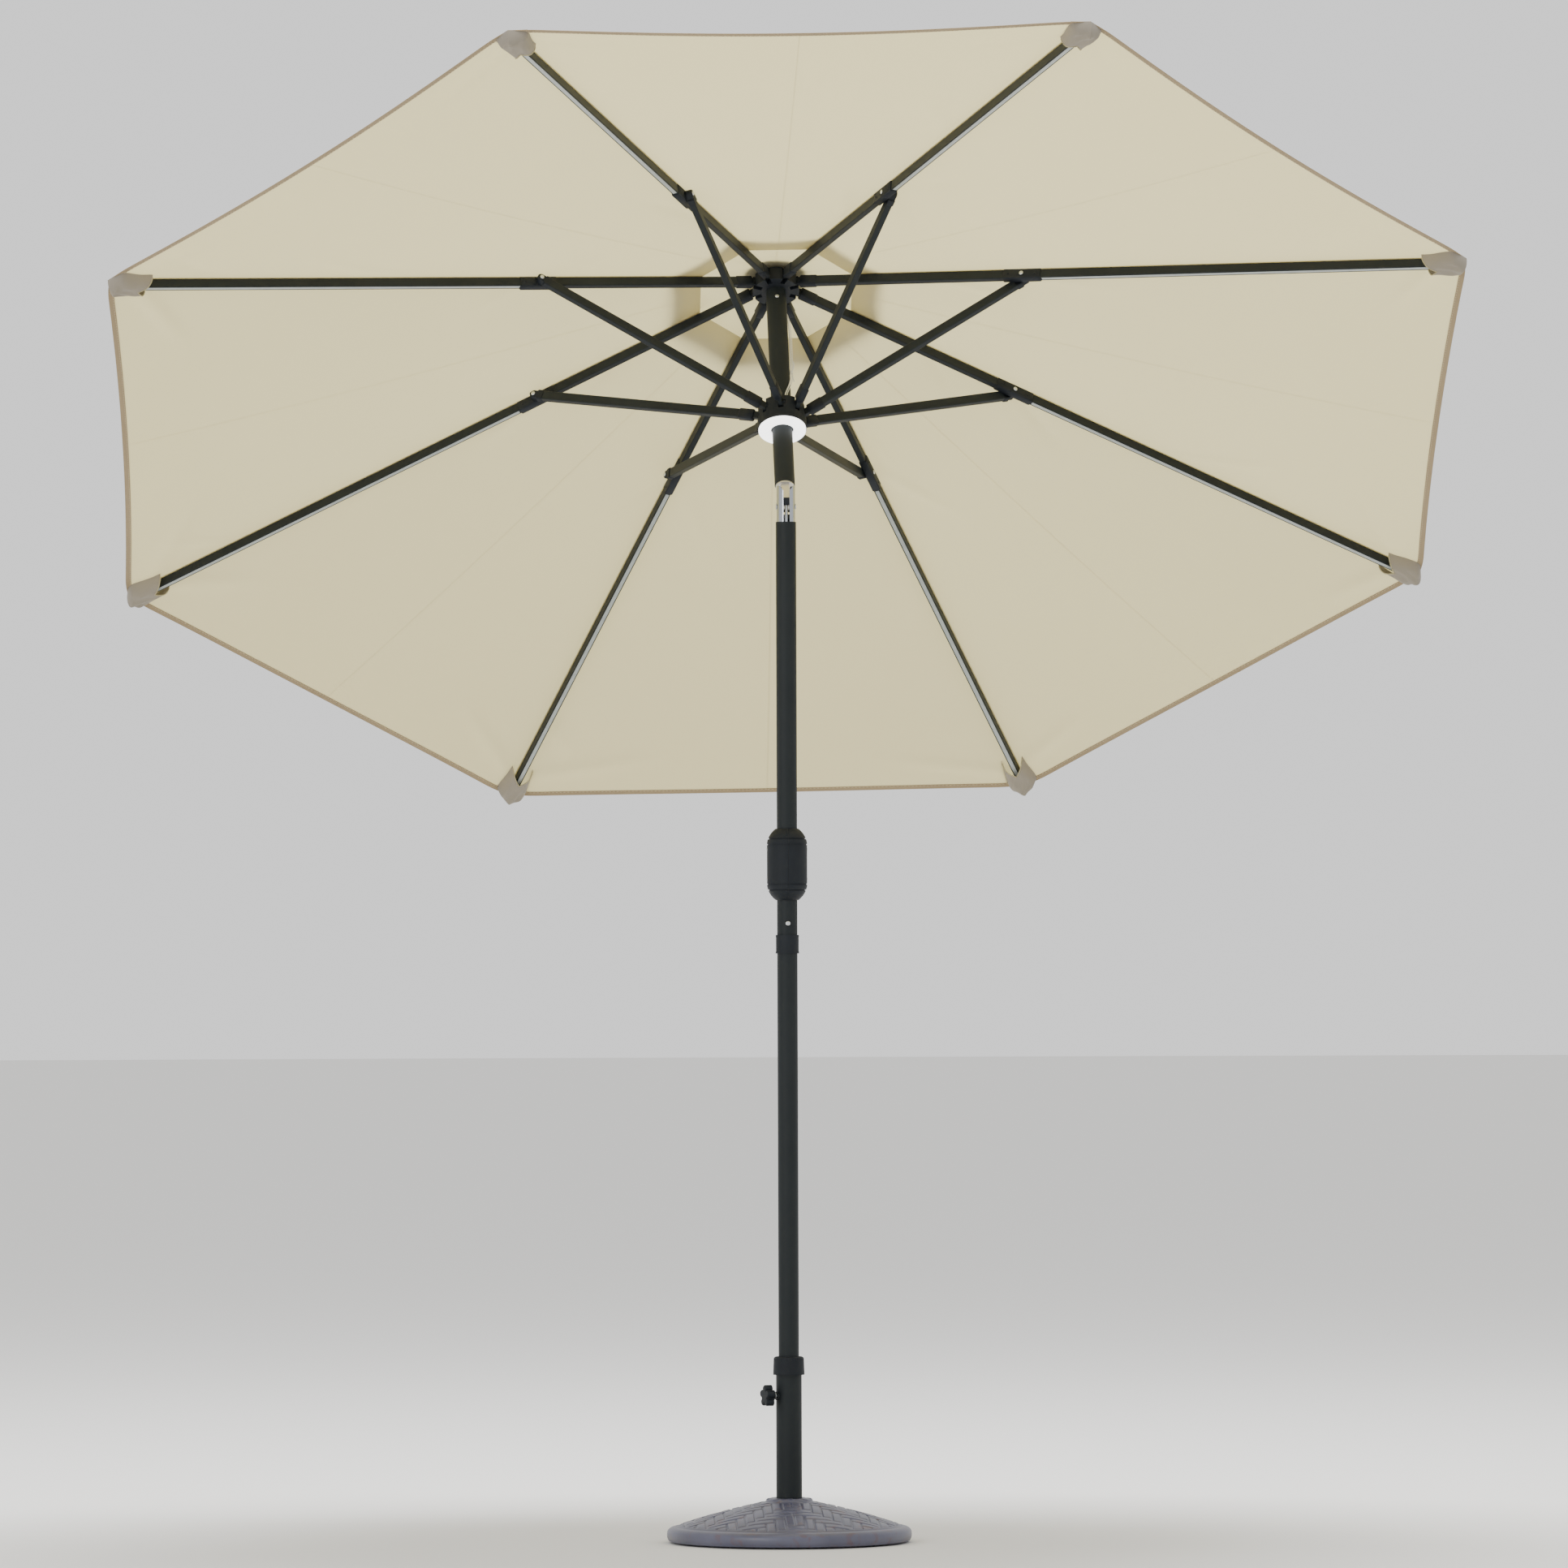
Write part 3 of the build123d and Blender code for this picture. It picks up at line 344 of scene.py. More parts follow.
def turned(profile, foot, out, side, up, round_count=32):
    """Rings of points about an axis, from distances along it and from it."""
    angles = np.arange(round_count) * 2 * math.pi / round_count
    rings = []
    for along, wide in profile:
        spokes = np.outer(np.cos(angles), side) + np.outer(np.sin(angles), up)
        rings.append(np.array(foot) + along * np.array(out) + wide * spokes)
    return rings


def lofted(rings, caps=True):
    """Points and faces through rings that match, with an end face on the first and last."""
    count = len(rings[0])
    faces = ring_faces(len(rings), count)
    if caps:
        faces += [tuple(range(count)), tuple(range((len(rings) - 1) * count, len(rings) * count))]
    return np.concatenate(rings), faces


threads = int((STUD_TO - STUD_FROM) / STUD_THREAD)
stud_profile = [(STUD_FROM, 0.0042)]
for turn in range(threads):
    stud_profile += [(STUD_FROM + (turn + 0.35) * STUD_THREAD, STUD_R),
                     (STUD_FROM + (turn + 0.55) * STUD_THREAD, STUD_R),
                     (STUD_FROM + (turn + 0.95) * STUD_THREAD, 0.0043)]
stud_rings = turned(stud_profile, (0, 0, knob_height), knob_out, knob_side, (0, 0, 1))
make_piece("knob_stud", *lofted(stud_rings), zinc, "knob", "satin_steel")

# ---- Screws of the crank housing ---------------------------------------------------------------
# Four cross-head screws pull the two halves of the barrel together from the right-hand side,
# above and below the spool.
HOUSING_R = 0.0375
crank_height = joint["crank_turn"]["pos_m"][2]


def named_tree(name, sizes):
    """A node tree for geometry, with named sizes and a finish as its inputs."""
    tree = bpy.data.node_groups.new(name, "GeometryNodeTree")
    tree.interface.new_socket("Geometry", in_out="INPUT", socket_type="NodeSocketGeometry")
    for size in sizes:
        tree.interface.new_socket(size, in_out="INPUT", socket_type="NodeSocketFloat")
    tree.interface.new_socket("Finish", in_out="INPUT", socket_type="NodeSocketMaterial")
    tree.interface.new_socket("Geometry", in_out="OUTPUT", socket_type="NodeSocketGeometry")
    return tree, tree.nodes.new("NodeGroupInput"), tree.nodes.new("NodeGroupOutput")


def head_tree():
    """A domed head on each guide point, standing the way that its facing attribute says."""
    tree, given, result = named_tree("domed_heads", ("Head Radius", "Head Height"))
    make, link = tree.nodes.new, tree.links.new
    dome, stretch = make("GeometryNodeMeshUVSphere"), make("GeometryNodeTransform")
    place = make("GeometryNodeInstanceOnPoints")
    facing, turn = make("GeometryNodeInputNamedAttribute"), make("FunctionNodeAlignRotationToVector")
    size = make("ShaderNodeCombineXYZ")
    real, smooth = make("GeometryNodeRealizeInstances"), make("GeometryNodeSetShadeSmooth")
    paint = make("GeometryNodeSetMaterial")
    dome.inputs["Segments"].default_value = 14
    dome.inputs["Rings"].default_value = 8
    dome.inputs["Radius"].default_value = 1.0
    facing.data_type = "FLOAT_VECTOR"
    facing.inputs["Name"].default_value = "facing"
    turn.axis = "Z"
    link(given.outputs["Head Radius"], size.inputs["X"])
    link(given.outputs["Head Radius"], size.inputs["Y"])
    link(given.outputs["Head Height"], size.inputs["Z"])
    link(dome.outputs["Mesh"], stretch.inputs["Geometry"])
    link(size.outputs["Vector"], stretch.inputs["Scale"])
    link(facing.outputs["Attribute"], turn.inputs["Vector"])
    link(given.outputs["Geometry"], place.inputs["Points"])
    link(stretch.outputs["Geometry"], place.inputs["Instance"])
    link(turn.outputs["Rotation"], place.inputs["Rotation"])
    link(place.outputs["Instances"], real.inputs["Geometry"])
    link(real.outputs["Geometry"], smooth.inputs["Geometry"])
    link(smooth.outputs["Geometry"], paint.inputs["Geometry"])
    link(given.outputs["Finish"], paint.inputs["Material"])
    link(paint.outputs["Geometry"], result.inputs["Geometry"])
    return tree


def grow(name, tree, guide_points, guide_edges, finish, body, slot, facing=None, **sizes):
    """Runs a tree over guide points and keeps what it makes as a plain mesh on one body."""
    guide = bpy.data.meshes.new(name + "_guide")
    guide.from_pydata([tuple(p) for p in guide_points], guide_edges, [])
    if facing is not None:
        ways = guide.attributes.new("facing", "FLOAT_VECTOR", "POINT")
        ways.data.foreach_set("vector", np.asarray(facing, float).ravel())
    holder = bpy.data.objects.new(name + "_guide", guide)
    bpy.context.scene.collection.objects.link(holder)
    modifier = holder.modifiers.new("grow", "NODES")
    modifier.node_group = tree
    for item in tree.interface.items_tree:
        if item.in_out == "INPUT" and item.name == "Finish":
            modifier[item.identifier] = finish
        elif item.in_out == "INPUT" and item.name.replace(" ", "_").lower() in sizes:
            modifier[item.identifier] = sizes[item.name.replace(" ", "_").lower()]
    evaluated = holder.evaluated_get(bpy.context.evaluated_depsgraph_get())
    mesh = bpy.data.meshes.new_from_object(evaluated)
    bpy.data.objects.remove(holder)
    piece = bpy.data.objects.new(name, mesh)
    mesh.name = name
    bpy.context.scene.collection.objects.link(piece)
    if body:
        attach(piece, body)
    return piece


heads = head_tree()
screw_spots = [(HOUSING_R - 0.0004, -0.0, crank_height + up) for up in (-0.028, 0.028)]
screw_spots += [(-HOUSING_R + 0.0004, 0.0, crank_height + up) for up in (-0.028, 0.028)]
screw_ways = [(1, 0, 0)] * 2 + [(-1, 0, 0)] * 2
grow("housing_screws", heads, screw_spots, [], zinc, "pole", "satin_steel", facing=screw_ways,
     head_radius=0.0036, head_height=0.0014)

# ---- Tilt joint --------------------------------------------------------------------------------
# A chrome-plated sleeve slotted front and back, with a solid tongue swinging in it on a cross
# pin. The plate has faint drawing lines down the tube, and its colour is dulled below bright chrome
# as a painted reflection of dark surroundings.
chrome = new_finish("bright_chrome_plate")
where = add(chrome, "ShaderNodeTexCoord")
drawn = add(chrome, "ShaderNodeMapping", {"Vector": where.outputs["Object"], "Scale": (900.0, 900.0, 8.0)})
draw_lines = add(chrome, "ShaderNodeTexNoise", {"Vector": drawn.outputs["Vector"], "Scale": 1.0,
                                                "Detail": 1.0})
scuff = add(chrome, "ShaderNodeMapRange", {"Value": draw_lines.outputs["Fac"], "To Min": 0.10,
                                           "To Max": 0.22})
draw_bump = add(chrome, "ShaderNodeBump", {"Height": draw_lines.outputs["Fac"], "Strength": 0.05,
                                           "Distance": 0.0002})
# The plate's colour is set below real chrome: painted reflection of dark surroundings.
plate = add(chrome, "ShaderNodeBsdfPrincipled", {"Base Color": srgb("#a9adb2"), "Metallic": 1.0,
                                                 "Roughness": scuff.outputs["Result"],
                                                 "Normal": draw_bump.outputs["Normal"]})
add(chrome, "ShaderNodeOutputMaterial", {"Surface": plate.outputs["BSDF"]})
dress(chrome, "lower_knuckle")

# The tongue is a die casting, tumbled to a soft silver.
casting = new_finish("tumbled_zinc_casting")
where = add(casting, "ShaderNodeTexCoord")
tumble = add(casting, "ShaderNodeTexNoise", {"Vector": where.outputs["Object"], "Scale": 420.0,
                                             "Detail": 3.0})
dent = add(casting, "ShaderNodeBump", {"Height": tumble.outputs["Fac"], "Strength": 0.2, "Distance": 0.0003})
body_metal = add(casting, "ShaderNodeBsdfPrincipled", {"Base Color": srgb("#cfccc4"), "Metallic": 1.0,
                                                       "Roughness": 0.38, "Normal": dent.outputs["Normal"]})
add(casting, "ShaderNodeOutputMaterial", {"Surface": body_metal.outputs["BSDF"]})
dress(casting, "upper_knuckle")

# The latch's rod runs down in the slot from the black slider, and is bright too.
hinge = Vector(joint["canopy_tilt"]["pos_m"])
rod_rings = turned([(0, 0.0024), (0.0006, 0.0030), (0.0530, 0.0030), (0.0540, 0.0024)],
                   hinge + Vector((0, -0.01435, -0.0520)), (0, 0, 1), (1, 0, 0), (0, 1, 0), 20)
make_piece("latch_rod", *lofted(rod_rings), chrome, "latch", "bright_chrome")

# A nylon liner on each side of the tongue, inside the sleeve: a dark piece put there as painted shade,
# darkening the gaps of the sleeve's vee.
LINER_OUT, LINER_IN = 0.0152, 0.0144
for hand, side_name in ((-1, "left"), (1, "right")):
    rings = []
    for up in np.linspace(0.0065, 0.0355, 5):
        bend = np.linspace(-0.95, 0.95, 15)
        arc = [(hand * LINER_OUT * math.cos(a), LINER_OUT * math.sin(a)) for a in bend]
        arc += [(hand * LINER_IN * math.cos(a), LINER_IN * math.sin(a)) for a in bend[::-1]]
        rings.append(np.array([hinge + Vector((x, y, up)) for x, y in arc]))
    make_piece(f"tongue_liner_{side_name}", *lofted(rings), nylon, "pole", "black_plastic")

# ---- Crown, ribs and struts: end fittings and bracket sleeves ----------------------------------
# Each rib and strut is a powder-coated tube with a black nylon shoe over its hinge end, and
# each rib has a nylon sleeve where its strut is riveted on.
RIB_DROOP = math.radians(14.8)
STRUT_RISE = math.radians(21.45)
HUB_PIN_R = 0.038
RIVET_ALONG = 0.4691
RUNNER_PIN_DOWN = 0.298
STRUT_SIDE = 0.01355
STRUT_LONG = 0.4873
STRUT_END_R = 0.00775
STRUT_END_LEFT, STRUT_END_RIGHT, STRUT_END_HALF = -0.0060, 0.0072, 0.0103
MOULD_EASE = 0.0016
lean = -Vector(joint["runner_slide"]["axis"])
rib_pin = [Vector(joint[f"rib_{k}_fold"]["pos_m"]) for k in range(1, 9)]
rib_across = [Vector(joint[f"rib_{k}_fold"]["axis"]) for k in range(1, 9)]
rib_out = [across.cross(lean) for across in rib_across]
crown = rib_pin[0] - HUB_PIN_R * rib_out[0]


def over_rib(k, out, across, up):
    """Points over rib k: out from the crown, across the rib, and up the leaning pole."""
    out, across, up = np.broadcast_arrays(out, across, up)
    return (np.array(crown) + out[..., None] * np.array(rib_out[k])
            + across[..., None] * np.array(rib_across[k]) + up[..., None] * np.array(lean))


def on_rib(k, along, across, above):
    """Points along the drooping rib from its pin."""
    return over_rib(k, HUB_PIN_R + along * math.cos(RIB_DROOP) + above * math.sin(RIB_DROOP), across,
                    above * math.cos(RIB_DROOP) - along * math.sin(RIB_DROOP))


def on_strut(k, along, across, above):
    """Points along the rising strut from its pin on the runner."""
    return over_rib(k, HUB_PIN_R + along * math.cos(STRUT_RISE) - above * math.sin(STRUT_RISE),
                    across + STRUT_SIDE,
                    above * math.cos(STRUT_RISE) + along * math.sin(STRUT_RISE) - RUNNER_PIN_DOWN)


def shoe(name, spot, k, start, end, left, right, low, high, body):
    """A moulded sleeve with eased edges, between two places along a rib or strut."""
    ease = MOULD_EASE
    rings = []
    for along, shrink in ((start, ease * 0.7), (start + ease, 0), (end - ease, 0), (end, ease * 0.7)):
        l, r, b, t = left + shrink, right - shrink, low + shrink, high - shrink
        corners = [(l, b + ease), (l + ease, b), (r - ease, b), (r, b + ease), (r, t - ease), (r - ease, t),
                   (l + ease, t), (l, t - ease)]
        rings.append(np.array([spot(k, along, across, above) for across, above in corners]))
    return make_piece(name, *lofted(rings), nylon, body, "black_plastic")


def rounded_strut_end(k, body):
    """The moulded end of a strut, round about its rivet so that it turns clear of the cloth."""
    stations = [(-0.0200, 0.0092), (-0.0184, STRUT_END_HALF), (-0.0088, STRUT_END_HALF),
                (-0.0074, STRUT_END_R)]
    stations += [(STRUT_END_R * math.sin(turn), STRUT_END_R * math.cos(turn))
                 for turn in np.radians(np.linspace(0, 80, 9))]
    rings = []
    for past, half in stations:
        ease = min(MOULD_EASE, half * 0.6)
        l, r = STRUT_END_LEFT, STRUT_END_RIGHT
        corners = [(l, ease - half), (l + ease, -half), (r - ease, -half), (r, ease - half),
                   (r, half - ease), (r - ease, half), (l + ease, half), (l, half - ease)]
        rings.append(np.array([on_strut(k, STRUT_LONG + past, across, above) for across, above in corners]))
    return make_piece(f"strut_end_{k + 1}", *lofted(rings), nylon, body, "black_plastic")


for k in range(8):
    rib_body, strut_body = f"rib_unit_{k + 1}", f"strut_unit_{k + 1}"
    shoe(f"rib_shoe_{k + 1}", on_rib, k, 0.0125, 0.0465, -0.0073, 0.0073, -0.0106, 0.0104, rib_body)
    shoe(f"rivet_sleeve_{k + 1}", on_rib, k, RIVET_ALONG - 0.0384, RIVET_ALONG + 0.0384, -0.0082, 0.0074,
         -0.0112, 0.0100, rib_body)
    shoe(f"strut_shoe_{k + 1}", on_strut, k, 0.0125, 0.0440, -0.0070, 0.0070, -0.0103, 0.0103, strut_body)
    rounded_strut_end(k, strut_body)

# ---- Rivets ------------------------------------------------------------------------------------
# Semi-tubular steel rivets close every pivot: one through each sleeve and strut, and a smaller
# pair that holds the sleeve on the rib. The heads are domed and bare.
for k in range(8):
    outward = np.array(rib_across[k])
    spots = [on_rib(k, RIVET_ALONG, STRUT_SIDE + 0.0078, 0.0), on_rib(k, RIVET_ALONG, -0.0086, 0.0)]
    ways = [outward, -outward]
    grow(f"sleeve_rivets_{k + 1}", heads, spots, [], zinc, f"rib_unit_{k + 1}", "satin_steel", facing=ways,
         head_radius=0.0043, head_height=0.0019)
    small = [on_rib(k, RIVET_ALONG + shift, -0.0082, -0.001) for shift in (-0.027, 0.027)]
    small += [on_rib(k, RIVET_ALONG + shift, 0.0074, -0.001) for shift in (-0.029, 0.029)]
    grow(f"sleeve_pins_{k + 1}", heads, small, [], nylon, f"rib_unit_{k + 1}", "black_plastic",
         facing=[-outward, -outward, outward, outward], head_radius=0.0022, head_height=0.0009)

# The front of the upper tube carries the head of the pulley's axle.
front = np.array(lean.cross(Vector((1, 0, 0))))
pulley = Vector(joint["pulley_spin"]["pos_m"])
axle_ways = [-front, front]
axle_spots = [np.array(pulley) + way * 0.0208 for way in axle_ways]
grow("pulley_axle_heads", heads, axle_spots, [], zinc, "upper", "satin_steel", facing=axle_ways,
     head_radius=0.0040, head_height=0.0018)

# ---- Light strips and ring light ---------------------------------------------------------------
# Milky polycarbonate strips pressed into the ribs' channels, with the lamps unlit. The ring
# under the runner is the same plastic and is switched on.
milky = new_finish("milky_polycarbonate")
where = add(milky, "ShaderNodeTexCoord")
haze = add(milky, "ShaderNodeTexNoise", {"Vector": where.outputs["Object"], "Scale": 60.0, "Detail": 2.0})
tint = add(milky, "ShaderNodeMix", {0: haze.outputs["Fac"], 6: srgb("#8b918f"), 7: srgb("#a8aeab")},
           data_type="RGBA")
lens = add(milky, "ShaderNodeBsdfPrincipled", {"Base Color": tint.outputs[2], "Roughness": 0.32, "IOR": 1.58})
add(milky, "ShaderNodeOutputMaterial", {"Surface": lens.outputs["BSDF"]})
dress(milky, *[f"led_strip_{k}" for k in range(1, 9)])

glow = new_finish("lit_ring_lens")
where = add(glow, "ShaderNodeTexCoord")
patch = add(glow, "ShaderNodeTexNoise", {"Vector": where.outputs["Object"], "Scale": 70.0})
warm = add(glow, "ShaderNodeMix", {0: patch.outputs["Fac"], 6: srgb("#f4f6f5"), 7: srgb("#ffffff")},
           data_type="RGBA")
lit = add(glow, "ShaderNodeBsdfPrincipled", {"Base Color": srgb("#f2f2f0"), "Roughness": 0.35, "IOR": 1.58,
                                             "Emission Color": warm.outputs[2], "Emission Strength": 3.0})
add(glow, "ShaderNodeOutputMaterial", {"Surface": lit.outputs["BSDF"]})
dress(glow, "led_ring_lens")

# ---- Lift cord ---------------------------------------------------------------------------------
# A braided white cord that leaves a slot in the upper tube, runs down its side and is tied to
# the runner. The knot and its short ends hang half way, with the ring light's thin wire beside.
CORD_R = 0.0013
CORD_WAY = ((12.2, 0, -37.5), (13.0, -0.3, -46), (14, -0.5, -56), (21.3, -1.8, -80), (22, -3, -128),
            (21.7, -4.6, -208), (17.6, -14.6, -238), (6.5, -22.6, -264), (5.5, -23.6, -282.9))
braid = new_finish("braided_white_cord")
where = add(braid, "ShaderNodeTexCoord")
plaits = add(braid, "ShaderNodeTexWave", {"Vector": where.outputs["Object"], "Scale": 160.0,
                                          "Distortion": 2.0},
             wave_type="BANDS", bands_direction="DIAGONAL")
fibre = add(braid, "ShaderNodeMix", {0: plaits.outputs["Fac"], 6: srgb("#b9b7ae"), 7: srgb("#e9e8e2")},
            data_type="RGBA")
plait_bump = add(braid, "ShaderNodeBump", {"Height": plaits.outputs["Fac"], "Strength": 0.5,
                                           "Distance": 0.0003})
yarn = add(braid, "ShaderNodeBsdfPrincipled", {"Base Color": fibre.outputs[2], "Roughness": 0.75, "IOR": 1.53,
                                               "Normal": plait_bump.outputs["Normal"]})
add(braid, "ShaderNodeOutputMaterial", {"Surface": yarn.outputs["BSDF"]})


def up_the_pole(points):
    """Points in mm from the crown: sideways, forward of the leaning pole, and up it."""
    points = np.asarray(points, float) * MM
    return (np.array(crown) + points[:, :1] * np.array((1.0, 0, 0)) + points[:, 1:2] * front
            + points[:, 2:] * np.array(lean))


def smooth_line(points, count):
    """A line of even steps through the control points of a uniform cubic spline."""
    points = np.asarray(points, float)
    points = np.concatenate([2 * points[:1] - points[1:2], points, 2 * points[-1:] - points[-2:-1]])
    places = np.linspace(0, len(points) - 3 - 1e-6, count)
    low = places.astype(int)
    t = (places - low)[:, None]
    a, b, c, d = (points[low + i] for i in range(4))
    return ((1 - t) ** 3 * a + (3 * t ** 3 - 6 * t ** 2 + 4) * b
            + (-3 * t ** 3 + 3 * t ** 2 + 3 * t + 1) * c + t ** 3 * d) / 6


def swept(line, radius, round_count=10):
    """Rings of points along a line, kept from twisting, narrowing at both ends."""
    line = np.asarray(line, float)
    ways = np.gradient(line, axis=0)
    ways /= np.linalg.norm(ways, axis=1)[:, None]
    side = np.cross(ways[0], (0.31, 0.52, 0.79))
    angles = np.arange(round_count) * 2 * math.pi / round_count
    rings = []
    for spot, way in zip(line, ways):
        side = side - way * side.dot(way)
        side /= np.linalg.norm(side)
        other = np.cross(way, side)
        rings.append(spot + radius * (np.outer(np.cos(angles), side) + np.outer(np.sin(angles), other)))
    return rings


def pay_out(piece):
    """Bakes the piece's placement into its points, leaving it on no body."""
    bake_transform(piece)


cord_line = smooth_line(up_the_pole(CORD_WAY), 160)
lift_cord = make_piece("braided_lift_cord", *lofted(swept(cord_line, CORD_R)), braid, None, "white_cord")
pay_out(lift_cord)
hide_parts("lift_cord")

knot_turns = np.linspace(0, 5 * math.pi, 90)
knot_line = up_the_pole(np.stack([21.9 + (1.9 + 0.5 * np.cos(knot_turns * 0.4)) * np.cos(knot_turns),
                                  -4.4 + 2.0 * np.sin(knot_turns),
                                  -204 + 6 * (knot_turns / knot_turns[-1] - 0.5)
                                  + 0.9 * np.sin(knot_turns * 1.7)],
                                 axis=-1))
make_piece("cord_knot", *lofted(swept(knot_line, CORD_R * 0.95)), braid, "runner", "white_cord")
tail_ways = (((22.5, -5.5, -204), (25.5, -6.0, -197), (27.0, -6.5, -189), (26.2, -7.5, -181)),
             ((22.0, -6.0, -205), (24.0, -8.0, -212), (23.8, -9.5, -221), (25.2, -10.5, -229)))
for end, way in enumerate(tail_ways, 1):
    make_piece(f"cord_end_{end}", *lofted(swept(smooth_line(up_the_pole(way), 30), CORD_R * 0.8)), braid,
               "runner", "white_cord")
wire_way = [(x + 3.2, y + 0.6, w) for x, y, w in CORD_WAY[3:-1]] + [(9.5, -24.5, -283.2)]
wire_way = [(12.5, 1.8, -40), (15.5, 1.0, -56)] + wire_way
wire_line = smooth_line(up_the_pole(wire_way), 140)
wire = make_piece("ring_light_wire", *lofted(swept(wire_line, 0.0007, 8)), braid,
                  None, "white_cord")
pay_out(wire)

# ---- Canopy cloth ------------------------------------------------------------------------------
# Eight gores of beige polyester, cut with hollow sides so that they pull into gentle saddles,
# seamed over the ribs and stretched by them. Each section here runs from mid gore to mid gore.
VENT_R, CANOPY_R = 0.155, 1.350
CLOTH_THICK = 0.0008
SAG_DEEP = 0.017
HEM_HOLLOW = 0.014
CORNER_CUT = 0.005  # each corner of the cloth is turned over round the rib's end
CROSS_WIDE = math.sin(math.pi / 4)
CROSS_FALL = CROSS_WIDE * math.tan(math.pi / 8)
CLOTH_ROWS, CLOTH_COLUMNS = 130, 96


def smoothstep(value):
    value = np.clip(value, 0, 1)
    return value * value * (3 - 2 * value)


def gore_side(x):
    """0 over the rib, 1 in the middle of a gore."""
    return 4 * np.abs(x) * (1 - np.abs(x))


def cloth_spot(k, far, x, lift=0.0, folds=()):
    """Points of the cloth's underside over rib k: far along the ribs from the crown, and x from
    -0.5 in the middle of one gore to 0.5 in the middle of the next."""
    far, x = np.broadcast_arrays(np.asarray(far, float), np.asarray(x, float))
    share = (far - VENT_R) / (CANOPY_R - VENT_R)
    side = gore_side(x)
    pulled = far - HEM_HOLLOW * side * smoothstep((share - 0.35) / 0.65)
    pulled = pulled - CORNER_CUT * np.exp(-(x / 0.03) ** 2) * smoothstep((share - 0.96) / 0.04)
    out = pulled * (1 - CROSS_FALL * np.abs(x))
    across = pulled * CROSS_WIDE * x
    sag = SAG_DEEP * side ** 1.3 * np.sin(np.clip(0.74 * share, 0, 1) * np.pi)
    up = 0.0211 - 0.2642 * pulled - sag + lift
    inner = smoothstep((0.5 - np.abs(x)) / 0.12) * smoothstep(share / 0.06) * smoothstep((1 - share) / 0.02)
    inner = inner * smoothstep((np.abs(across) - 0.010) / 0.020)  # the cloth lies on the rib, never in it
    for start, hand, slant, length, width, depth in folds:
        along = (out - start) * math.cos(slant) + (hand * across) * math.sin(slant)
        aside = -(out - start) * math.sin(slant) + (hand * across) * math.cos(slant)
        swell = np.exp(-(aside / width) ** 2) * smoothstep(along / 0.03)
        swell = swell * smoothstep((length - along) / (0.6 * length))
        up = up + depth * swell * inner * (hand * across > 0)
    return over_rib(k, out, across, up)


def shell(under, over):
    """Points and faces of a thin closed sheet between two matching grids of points."""
    rows, columns = under.shape[:2]
    points = np.concatenate([under.reshape(-1, 3), over.reshape(-1, 3)])
    count = rows * columns
    faces = []
    for i in range(rows - 1):
        for j in range(columns - 1):
            a = i * columns + j
            faces.append((a, a + 1, a + columns + 1, a + columns))
            faces.append((count + a, count + a + columns, count + a + columns + 1, count + a + 1))
    edge = [(0, j) for j in range(columns)] + [(i, columns - 1) for i in range(1, rows)]
    edge += [(rows - 1, j) for j in range(columns - 2, -1, -1)] + [(i, 0) for i in range(rows - 2, 0, -1)]
    ring = [i * columns + j for i, j in edge]
    for a, b in zip(ring, ring[1:] + ring[:1]):
        faces.append((a, count + a, count + b, b))
    return points, faces


def lay_weave(piece, k):
    """Gives a cloth piece a UV map in metres: across the rib, and along it."""
    mesh = piece.data
    spots = np.empty(len(mesh.vertices) * 3)
    mesh.vertices.foreach_get("co", spots)
    spots = spots.reshape(-1, 3) - np.array(crown)
    flat = np.stack([spots @ np.array(rib_across[k]),
                     spots @ np.array(rib_out[k]) / math.cos(RIB_DROOP)], axis=-1)
    corner = np.empty(len(mesh.loops), int)
    mesh.loops.foreach_get("vertex_index", corner)
    weave = mesh.uv_layers.new(name="weave")
    weave.data.foreach_set("uv", flat[corner].ravel())


def woven(name, plain, shaded, through, share):
    """Plain-woven polyester that lets light through. Real threads are 0.3 mm apart; they are
    drawn 2.4 mm apart, or they would shimmer."""
    cloth = new_finish(name)
    laid = add(cloth, "ShaderNodeUVMap", uv_map="weave")
    warp = add(cloth, "ShaderNodeTexWave", {"Vector": laid.outputs["UV"], "Scale": 65.0, "Distortion": 0.6},
               bands_direction="X")
    weft = add(cloth, "ShaderNodeTexWave", {"Vector": laid.outputs["UV"], "Scale": 65.0, "Distortion": 0.6},
               bands_direction="Y")
    cross = add(cloth, "ShaderNodeMath", {0: warp.outputs["Fac"], 1: weft.outputs["Fac"]},
                operation="MULTIPLY")
    slubs = add(cloth, "ShaderNodeTexNoise", {"Vector": laid.outputs["UV"], "Scale": 5.0, "Detail": 6.0})
    tone = add(cloth, "ShaderNodeMix", {0: slubs.outputs["Fac"], 6: srgb(plain), 7: srgb(shaded)},
               data_type="RGBA")
    ribbed = add(cloth, "ShaderNodeBump", {"Height": cross.outputs["Value"], "Strength": 0.12,
                                           "Distance": 0.0003})
    face = add(cloth, "ShaderNodeBsdfPrincipled", {"Base Color": tone.outputs[2], "Roughness": 0.85,
                                                   "IOR": 1.46, "Sheen Weight": 0.15, "Sheen Roughness": 0.5,
                                                   "Normal": ribbed.outputs["Normal"]})
    glimmer = add(cloth, "ShaderNodeBsdfTranslucent", {"Color": srgb(through)})
    both = add(cloth, "ShaderNodeMixShader", {0: share, 1: face.outputs["BSDF"], 2: glimmer.outputs["BSDF"]})
    add(cloth, "ShaderNodeOutputMaterial", {"Surface": both.outputs["Shader"]})
    return cloth


polyester = woven("beige_polyester_canvas", "#cfc9b6", "#c7c0ac", "#e0dabb", 0.76)
chance = np.random.default_rng(7)
across_rows = np.linspace(-0.5, 0.5, CLOTH_COLUMNS + 1)
down_rows = np.linspace(VENT_R, CANOPY_R, CLOTH_ROWS + 1)


